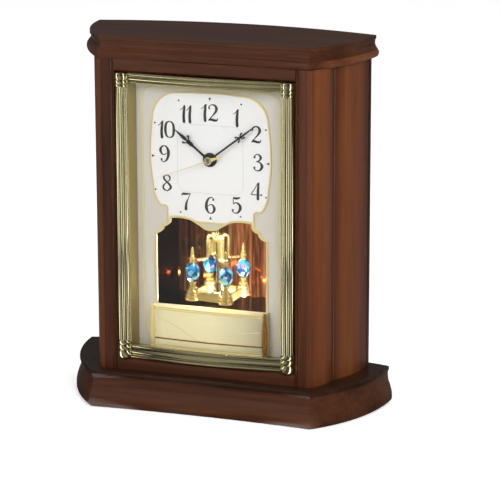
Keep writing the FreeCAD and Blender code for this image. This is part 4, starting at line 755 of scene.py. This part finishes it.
def makeHub():
    h = handHub
    profile = [(h["bore"], 0.0)]
    for step in range(h["steps"]):
        turn = math.radians(90 * step / h["steps"])
        profile.append((h["round"] * math.cos(turn), h["rim"] + h["high"] * math.sin(turn)))
    profile.append((0.0, h["rim"] + h["high"]))
    lathe("handHub", profile, (0, h["front"], dial["centre"]), (0, -1, 0), brassPolished, "minute_arbor")


for name in hands:
    makeHand(name)
makeHub()
print("hands made")


# bezel rails, moulded along their bow

rails = {
    "half": 63.1,
    "bow": 3.6,
    "front": 38.35,
    "back": 36.3,
    "stations": 40,
    # runs of (setback, share of the height from the edge next to the wood inward)
    "runs": (
        ((1.20, 0.00), (0.55, 0.02), (0.15, 0.07), (0.00, 0.14), (0.15, 0.21), (0.60, 0.26)),
        ((0.60, 0.26), (1.50, 0.28), (1.50, 0.32), (0.90, 0.34)),
        ((0.90, 0.34), (0.45, 0.40), (0.30, 0.50), (0.45, 0.60), (0.80, 0.68), (1.30, 0.74)),
        ((1.30, 0.74), (1.95, 0.76), (1.95, 0.80), (1.30, 0.82)),
        ((1.30, 0.82), (1.00, 0.87), (1.00, 0.94), (1.30, 1.00), (2.05, 1.00)),
    ),
    # name, node, height of the edge next to the wood, and how far the rail reaches from there
    "rows": (("mouldedTopRail", "bezel_top_rail", 272.5, -8.1),
             ("mouldedBottomRail", "bezel_bottom_rail", 39.8, 11.2)),
}


def railFront(x, setback):
    r = rails
    radius = (r["half"] ** 2 + r["bow"] ** 2) / (2 * r["bow"])
    return -(r["front"] + math.sqrt(radius ** 2 - x ** 2) - (radius - r["bow"]) - setback)


def makeRails():
    r = rails
    places = [-r["half"] + 2 * r["half"] * k / r["stations"] for k in range(r["stations"] + 1)]
    for name, node, start, tall in r["rows"]:
        verts = []
        faces = []
        outline = [point for run in r["runs"] for point in run]
        for run in r["runs"]:
            first = len(verts)
            count = len(run)
            for x in places:
                for setback, share in run:
                    verts.append((x * mm, railFront(x, setback) * mm, (start + tall * share) * mm))
            for k in range(r["stations"]):
                for j in range(count - 1):
                    a = first + k * count + j
                    face = (a, a + 1, a + count + 1, a + count)
                    faces.append(face if tall > 0 else face[::-1])
        for x in (-r["half"], r["half"]):
            first = len(verts)
            ring = [(railFront(x, setback), share) for setback, share in outline]
            ring += [(-r["back"], 1.0), (-r["back"], 0.0)]
            verts += [(x * mm, y * mm, (start + tall * share) * mm) for y, share in ring]
            faces.append(tuple(range(first, first + len(ring))))
        for setback, share in (outline[0], outline[-1]):
            first = len(verts)
            for x in places:
                edge = railFront(x, setback)
                verts.append((x * mm, edge * mm, (start + tall * share) * mm))
                verts.append((x * mm, -r["back"] * mm, (start + tall * share) * mm))
            for k in range(r["stations"]):
                a = first + 2 * k
                faces.append((a, a + 1, a + 3, a + 2))
        thing = piece(name, verts, faces, brassPolished, "case", True)
        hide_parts(node)


makeRails()


# reeded columns with a drum and two beads at each end

columns = {
    "out": 68.95,
    "front": 36.25,
    "round": 5.4,
    "reeds": 12,
    "reedDeep": 0.55,
    "around": 144,
    "low": 39.8,
    "high": 272.5,
    "base": (6.9, 4.5, 3.6),
    "capital": (2.76, 3.22, 5.52),
    "ring": ((0.0, 0.0), (0.10, 0.35), (0.28, 0.56), (0.5, 0.60), (0.72, 0.56), (0.90, 0.35), (1.0, 0.0)),
    "neck": (0.3, 0.2),  # the reeds start this far past the rings, and this far in
    "behind": 34.3,
    "plate": ((65.4, 34.25), (74.7, 34.25), (74.7, 32.75), (65.4, 32.75)),
    "plateSides": ((0, 1, 5, 4), (1, 2, 6, 5), (2, 3, 7, 6), (3, 0, 4, 7), (3, 2, 1, 0), (4, 5, 6, 7)),
}


def makeColumns():
    c = columns
    rows = []
    level = c["low"]
    for tall in c["base"]:
        rows += [(level + tall * share, c["round"] + out, 0.0) for share, out in c["ring"]]
        level += tall
    top = c["high"] - sum(c["capital"])
    past, inward = c["neck"]
    rows += [(high, c["round"] - inward, c["reedDeep"]) for high in (level + past, top - past)]
    level = top
    for tall in c["capital"]:
        rows += [(level + tall * share, c["round"] + out, 0.0) for share, out in c["ring"]]
        level += tall
    for side, name in ((-1, "left"), (1, "right")):
        verts = []
        count = c["around"]
        for level, radius, deep in rows:
            for k in range(count):
                turn = 2 * math.pi * k / count
                reach = radius - deep * (1 - abs(math.sin(turn * c["reeds"] / 2)))
                y = min(-c["front"] + reach * math.sin(turn), -c["behind"])
                verts.append(((side * c["out"] + reach * math.cos(turn)) * mm, y * mm, level * mm))
        faces = tubeFaces(len(rows), count)
        shaft = piece(name + "Reeds", verts, faces, brassPolished, "case", True)
        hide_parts(name + "_column")
        corners = [(side * x * mm, -y * mm, z * mm) for z in (c["low"], c["high"]) for x, y in c["plate"]]
        sides = [face if side > 0 else face[::-1] for face in c["plateSides"]]
        plate = piece(name + "Plate", corners, sides, brassPolished, "case")
        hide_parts(name + "_column")


makeColumns()
print("bezel moulded")


# gold line on the panel

panelLine = {
    "front": -22.27 * mm,
    "halfWide": 57.5 * mm,
    "low": 56.0 * mm,
    "high": 259.5 * mm,
    "corner": 9.0 * mm,
    "half": 1.1 * mm,
    "crest": 0.77 * mm,
    "rise": 0.12 * mm,
}


def makePanelLine():
    p = panelLine
    middle = (p["low"] + p["high"]) / 2
    outline = roundedSquare(p["halfWide"], (p["high"] - p["low"]) / 2, p["corner"], 10)
    section = [(-p["half"], 0), (p["half"], 0), (p["crest"], p["rise"]), (-p["crest"], p["rise"])]
    sweep("panelLine", [(x, p["front"], z + middle) for x, z in outline], section, goldLine, "case",
          True)


makePanelLine()


# apron: ridges along the top and the foot, a seam, two raised sweeps and a turned post at each end

apron = {
    "front": -30.25,
    "bow": 2.4,
    "half": 46.5,
    "low": 48.1,
    "stations": 32,
    "ridges": ((82.5, 0.75), (80.8, 0.6), (49.3, 1.1), (51.5, 0.4125)),  # height and radius
    "ridgeFlat": 0.8,
    "ridgeIn": 0.35,  # share of the radius that sits in the face
    "seam": (56.7, 0.7, 0.7),
    "seamIn": 0.1,
    # (radius, height) of a post
    "post": ((0.0, 84.6), (0.9, 84.4), (1.3, 83.6), (0.9, 82.7), (1.5, 82.0), (1.5, 80.8), (1.0, 80.2),
             (1.5, 78.6), (2.1, 75.0), (2.5, 68.0), (2.5, 58.0), (2.0, 52.4), (1.4, 51.4), (2.2, 50.6),
             (2.2, 49.2), (0.0, 49.2)),
    "postPlace": (47.6, 30.2),
    "sweeps": (
        ((-46.0, 73.6), (-34.0, 71.0), (-22.0, 65.6), (-12.0, 59.6), (-6.0, 57.4), (2.0, 57.0), (8.0, 57.2)),
        ((16.0, 63.6), (22.0, 65.2), (32.0, 67.0), (44.0, 68.6)),
    ),
    "sweepRound": (0.42, 0.6),
    "sweepIn": 0.08,
}


def apronFace(x, z, lift=0.0):
    # a point on the bowed front of the apron; the bow is an arc through both ends
    a = apron
    radius = (a["half"] ** 2 + a["bow"] ** 2) / (2 * a["bow"])
    reach = math.sqrt(radius ** 2 - x ** 2) - (radius - a["bow"])
    return (x * mm, (a["front"] - reach - lift) * mm, z * mm)


def apronRun(high, sunk):
    # a level path across the whole face
    steps = apron["stations"]
    return [apronFace(apron["half"] * (2 * k / steps - 1), high, -sunk) for k in range(steps + 1)]


def makeApronTrim():
    a = apron
    for index, (high, radius) in enumerate(a["ridges"]):
        path = apronRun(high, radius * a["ridgeIn"])
        section = roundSection(radius * mm, 12, a["ridgeFlat"])
        sweep(f"apronRidge_{index + 1}", path, section, goldTrim, "case")
    high, radius, flat = a["seam"]
    path = apronRun(high, a["seamIn"])
    sweep("apronSeam", path, roundSection(radius * mm, 8, flat), goldAmber, "case")
    x, front = a["postPlace"]
    profile = [(radius * mm, (high - a["low"]) * mm) for radius, high in reversed(a["post"])]
    for side, name, material in ((-1, "left", goldTrim), (1, "right", goldAmber)):
        lathe("apronPost_" + name, profile, (side * x * mm, -front * mm, a["low"] * mm), (0, 0, 1), material,
              "case", 32)
    radius, flat = a["sweepRound"]
    for index, points in enumerate(a["sweeps"]):
        path = [apronFace(x, z, -a["sweepIn"]) for x, z in spline(points, 6)]
        section = roundSection(radius * mm, 8, flat)
        sweep(f"apronSweep_{index + 1}", path, section, goldLine, "case")


makeApronTrim()
print("apron trimmed")


# chamber: folded strips of tinted mirror along the back

chamber = {
    "half": 46.0,
    "back": 29.2,
    "deep": 4.5,
    "low": 81.2,
    "high": 155.6,
    "folds": 9,
    "thick": 0.4,
}


def makeFolds():
    c = chamber
    verts = []
    faces = []
    count = c["folds"] * 2
    for k in range(count + 1):
        x = -c["half"] + 2 * c["half"] * k / count
        y = c["back"] - (c["deep"] if k % 2 else 0.0)
        verts.append((x * mm, y * mm, c["low"] * mm))
        verts.append((x * mm, y * mm, c["high"] * mm))
    for k in range(count):
        a = k * 2
        faces.append((a, a + 2, a + 3, a + 1))
    thicken(piece("foldedMirror", verts, faces, mirrorAmber, "case"), -c["thick"] * mm)


makeFolds()


# pendulum: four posts stand around the spindle; every piece of a post is placed by its number

postRing = {
    "reach": 21.3,
    "turn": 36.9,
    "centre": -6.45,
}


def postTurn(number):
    return math.radians(postRing["turn"] + 90 * number)


def postPlace(number, reach):
    # a point this far from the spindle toward a post
    turn = postTurn(number)
    return reach * math.cos(turn), postRing["centre"] + reach * math.sin(turn)


# crystals: facets between rings of corners, each ring turned by half a facet

crystal = {
    "low": 103.0,
    "high": 118.3,
    "rows": ((0.0, 0.36), (0.09, 0.62), (0.30, 0.95), (0.5, 1.0), (0.70, 0.95), (0.91, 0.62), (1.0, 0.36)),
    "round": 6.0,
    "sides": 10,
}


def makeCrystals():
    c = crystal
    sides = c["sides"]
    for number in range(4):
        cx, cy = postPlace(number, postRing["reach"])
        verts = []
        faces = []
        for row, (share, wide) in enumerate(c["rows"]):
            z = c["low"] + (c["high"] - c["low"]) * share
            for k in range(sides):
                angle = postTurn(number) + 2 * math.pi * (k + (0.5 if row % 2 else 0.0)) / sides
                verts.append(((cx + c["round"] * wide * math.cos(angle)) * mm,
                              (cy + c["round"] * wide * math.sin(angle)) * mm, z * mm))
        for row in range(len(c["rows"]) - 1):
            for k in range(sides):
                a = row * sides + k
                b = row * sides + (k + 1) % sides
                if row % 2:
                    faces += [(a, b, b + sides), (a, b + sides, a + sides)]
                else:
                    faces += [(a, b, a + sides), (b, b + sides, a + sides)]
        faces += endFaces(len(c["rows"]), sides)
        thing = piece(f"crystal_{number + 1}", verts, faces, crystalBlue, "pendulum")
        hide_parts("pendulum_crystals")


makeCrystals()


# swan necks: flat bright arms that rise from the posts and curl over beside the spindle

necks = {
    "path": ((17.8, 120.2), (13.5, 120.2), (10.6, 120.4), (9.0, 121.6), (8.5, 124.0), (8.5, 130.0),
             (8.5, 136.0), (8.0, 138.3), (6.4, 139.4), (4.9, 138.5), (4.2, 136.4), (4.0, 133.4)),
    "wide": 5.6,
    "narrow": 0.55,  # share of the width at the post's end
    "reachShare": 1.1,  # widest that an arm may be for its distance from the spindle
    "thick": 1.5,
    "section": ((-0.5, -0.3), (-0.36, -0.5), (0.36, -0.5), (0.5, -0.3), (0.5, 0.3), (0.36, 0.5),
                (-0.36, 0.5), (-0.5, 0.3)),
    "disc": ((2.1, 0.0), (3.3, 0.0), (3.6, 0.6), (3.6, 2.4), (3.3, 3.0), (2.1, 3.0)),
    "discLow": 134.0,
}


def makeNecks():
    n = necks
    run = spline(n["path"], 5)
    faces = tubeFaces(len(run), len(n["section"]))
    for number in range(4):
        turn = postTurn(number)
        verts = []
        for index, (reach, high) in enumerate(run):
            before = run[max(index - 1, 0)]
            after = run[min(index + 1, len(run) - 1)]
            dr = after[0] - before[0]
            dz = after[1] - before[1]
            long = math.hypot(dr, dz)
            swell = math.sin(math.pi * min(index / len(run) * 1.5, 0.5))
            wide = min(n["wide"] * (n["narrow"] + (1 - n["narrow"]) * swell), reach * n["reachShare"])
            for a, b in n["section"]:
                x, y = postPlace(number, reach - dz / long * b * n["thick"])
                x -= a * wide * math.sin(turn)
                y += a * wide * math.cos(turn)
                verts.append((x * mm, y * mm, (high + dr / long * b * n["thick"]) * mm))
        arm = piece(f"swanNeck_{number + 1}", verts, faces, brassBright, "pendulum", True)
        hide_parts("pendulum_crown")
    profile = [(radius * mm, high * mm) for radius, high in n["disc"]]
    centre = (0, postRing["centre"] * mm, n["discLow"] * mm)
    disc = lathe("crownDisc", profile, centre, (0, 0, 1), brassBright, "pendulum")
    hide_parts("pendulum_crown")


makeNecks()


# posts: stepped rings below, a slim collar and a finial above

posts = {
    "low": 88.0,
    "profile": ((0.0, 88.0), (5.9, 88.0), (6.2, 88.3), (6.2, 90.2), (5.9, 90.5), (5.0, 90.7), (5.0, 91.1),
                (5.4, 91.4), (5.4, 93.0), (5.1, 93.3), (4.2, 93.5), (4.2, 93.9), (4.6, 94.2), (4.6, 95.6),
                (4.3, 95.9), (3.2, 96.3), (3.0, 97.2), (3.5, 97.6), (3.5, 98.3), (2.5, 98.9), (2.2, 101.0),
                (2.9, 101.8), (2.9, 102.8), (1.5, 103.0), (1.5, 118.3), (2.9, 118.5), (2.9, 119.2),
                (2.3, 119.5), (2.3, 121.0), (2.9, 121.3), (2.9, 121.7), (1.8, 121.9), (1.9, 123.2),
                (1.2, 124.0), (1.6, 124.8), (0.8, 130.4), (0.0, 131.0)),
}


def makePosts():
    low = posts["low"]
    profile = [(radius * mm, (high - low) * mm) for radius, high in posts["profile"]]
    for number in range(4):
        x, y = postPlace(number, postRing["reach"])
        post = lathe(f"steppedPost_{number + 1}", profile, (x * mm, y * mm, low * mm), (0, 0, 1), brassBright,
                     "pendulum", 40, False)
        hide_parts("pendulum_posts")


makePosts()
print("pendulum made")


# room, light and camera

room = {
    "floorHalf": 6.0,
    "floorTone": "f4f4f4",
    "floorGlow": 0.41,
    "floorMirrored": 0.8,
    "lamps": (
        # name, place, size, watts that light things, watts that polished things mirror
        ("keyBox", (1.7, -1.9, 1.5), 0.9, 48.0, 6.5),
        ("fillBox", (-0.5, -2.4, 1.3), 0.8, 22.0, 10.0),
        ("topBox", (0.0, 0.3, 2.2), 1.4, 6.0, 3.0),
    ),
    "aim": (0.0, 0.0, 0.15),
    "strips": (
        # name, place, tilt, watts
        ("upperStrip", (0.0, -0.0185, 0.1552), 38, 0.12),
        ("lowerStrip", (0.0, -0.0192, 0.0818), 125, 0.16),
    ),
    "stripSize": (84 * mm, 2 * mm),
    "worldGlow": 0.55,
    "mirrored": (
        # share of the way round from behind on the left, how bright that direction mirrors
        (0.00, 0.10), (0.18, 0.16), (0.24, 0.06), (0.31, 0.05), (0.345, 3.40), (0.36, 3.40), (0.375, 0.05),
        (0.40, 0.05), (0.425, 0.36), (0.475, 0.36), (0.50, 0.20), (0.53, 0.05), (0.62, 0.05), (0.645, 3.20),
        (0.66, 3.20), (0.68, 0.06), (0.78, 0.08), (0.86, 0.30), (1.00, 0.10),
    ),
    "heights": (
        # sine of the height of a direction above the floor, half of it plus a half, and its share
        (0.50, 0.35), (0.56, 0.55), (0.60, 1.00), (0.70, 1.00), (0.76, 0.35), (1.00, 0.45),
    ),
}


def mirroredTone(look, place, share):
    # how bright the room looks in polished things, by the direction around the clock
    where = look.add("ShaderNodeTexCoord", {}, {}).out(place)
    parts = look.add("ShaderNodeSeparateXYZ", {}, {0: where})
    around = {0: parts.out("X"), 1: parts.out("Y") * -1}
    turn = look.add("ShaderNodeMath", {"operation": "ARCTAN2"}, around).out()
    return look.ramp(turn * (0.5 / math.pi) + 0.5, greys(room["mirrored"], share))


def rayKinds(look):
    # whether the ray comes from the camera or through glass, and whether it was mirrored
    path = look.add("ShaderNodeLightPath", {}, {})
    seen = (path.out("Is Camera Ray") + path.out("Is Transmission Ray")).limited()
    return seen, path.out("Is Glossy Ray")


def makeFloor():
    look = Look("paleFloor")
    grain = look.noise(look.place(), 3.0, 2.0, 0.5)
    base = colour(room["floorTone"])
    shade = look.blend(grain * 0.2, base, toned(base, (0.97, 0.97, 0.97)))
    seen, mirrored = rayKinds(look)
    tone = look.blend(mirrored, shade, mirroredTone(look, "Object", room["floorMirrored"]))
    glow = look.blend(seen, (0, 0, 0, 1), (room["floorGlow"],) * 3 + (1,))
    material = look.finish(Base_Color=tone, Roughness=0.8, Emission_Color=glow, Emission_Strength=1.0)
    half = room["floorHalf"]
    mesh = bpy.data.meshes.new("paleFloor")
    corners = [(-half, -half, 0), (half, -half, 0), (half, half, 0), (-half, half, 0)]
    mesh.from_pydata(corners, [], [(0, 1, 2, 3)])
    mesh.materials.append(material)
    floor = bpy.data.objects.new("paleFloor", mesh)
    bpy.context.scene.collection.objects.link(floor)


def makeWorld():
    world = bpy.data.worlds.new("studioRoom")
    world.use_nodes = True
    bpy.context.scene.world = world
    look = Tree(world.node_tree)
    seen, mirrored = rayKinds(look)
    where = look.add("ShaderNodeTexCoord", {}, {}).out("Generated")
    level = look.add("ShaderNodeSeparateXYZ", {}, {0: where}).out("Z")
    rise = look.ramp(level * 0.5 + 0.5, greys(room["heights"]))
    glossy = look.blend(1.0, mirroredTone(look, "Generated", 1.0), rise, "MULTIPLY")
    lit = look.blend(mirrored, (room["worldGlow"],) * 3 + (1.0,), glossy)
    shade = look.blend(seen, lit, (1, 1, 1, 1))
    back = look.tree.nodes["Background"]
    look.feed(back.inputs["Color"], shade)
    back.inputs["Strength"].default_value = 1.0


def addLamp(name, spot, turn, watts, wide, high):
    data = bpy.data.lights.new(name, "AREA")
    data.shape = "RECTANGLE"
    data.size = wide
    data.size_y = high
    data.energy = watts
    lamp = bpy.data.objects.new(name, data)
    bpy.context.scene.collection.objects.link(lamp)
    lamp.location = spot
    lamp.rotation_euler = turn
    return lamp


def makeLamps():
    # each lamp is a pair, so that what it mirrors in polish stays softer than what it lights
    for name, spot, size, power, shine in room["lamps"]:
        turn = (Vector(room["aim"]) - Vector(spot)).to_track_quat("-Z", "Y").to_euler()
        addLamp(name + "Light", spot, turn, power, size, size).visible_glossy = False
        addLamp(name + "Shine", spot, turn, shine, size, size).visible_diffuse = False
    # daylight that falls through the window, as narrow strips behind its upper and lower edges
    for name, spot, tilt, power in room["strips"]:
        addLamp(name, spot, (math.radians(tilt), 0, 0), power, *room["stripSize"])


view = {
    # metres and degrees; the lens and the sensor are in millimetres
    "place": (0.6717, -1.84695, 0.6331),
    "yaw": 19.3,
    "pitch": 14.49,
    "roll": -0.14,
    "lens": 182.3,
    "sensor": 36.0,
}


def makeCamera():
    data = bpy.data.cameras.new("photoView")
    data.lens = view["lens"]
    data.sensor_width = view["sensor"]
    data.clip_start = 0.05
    camera = bpy.data.objects.new("photoView", data)
    bpy.context.scene.collection.objects.link(camera)
    turn = (Matrix.Rotation(math.radians(view["yaw"]), 4, "Z")
            @ Matrix.Rotation(math.radians(90 - view["pitch"]), 4, "X")
            @ Matrix.Rotation(math.radians(view["roll"]), 4, "Z"))
    camera.matrix_world = Matrix.Translation(view["place"]) @ turn
    bpy.context.scene.camera = camera
    bpy.context.scene.view_settings.view_transform = "Standard"


makeFloor()
makeWorld()
makeLamps()
makeCamera()
print("room lit")
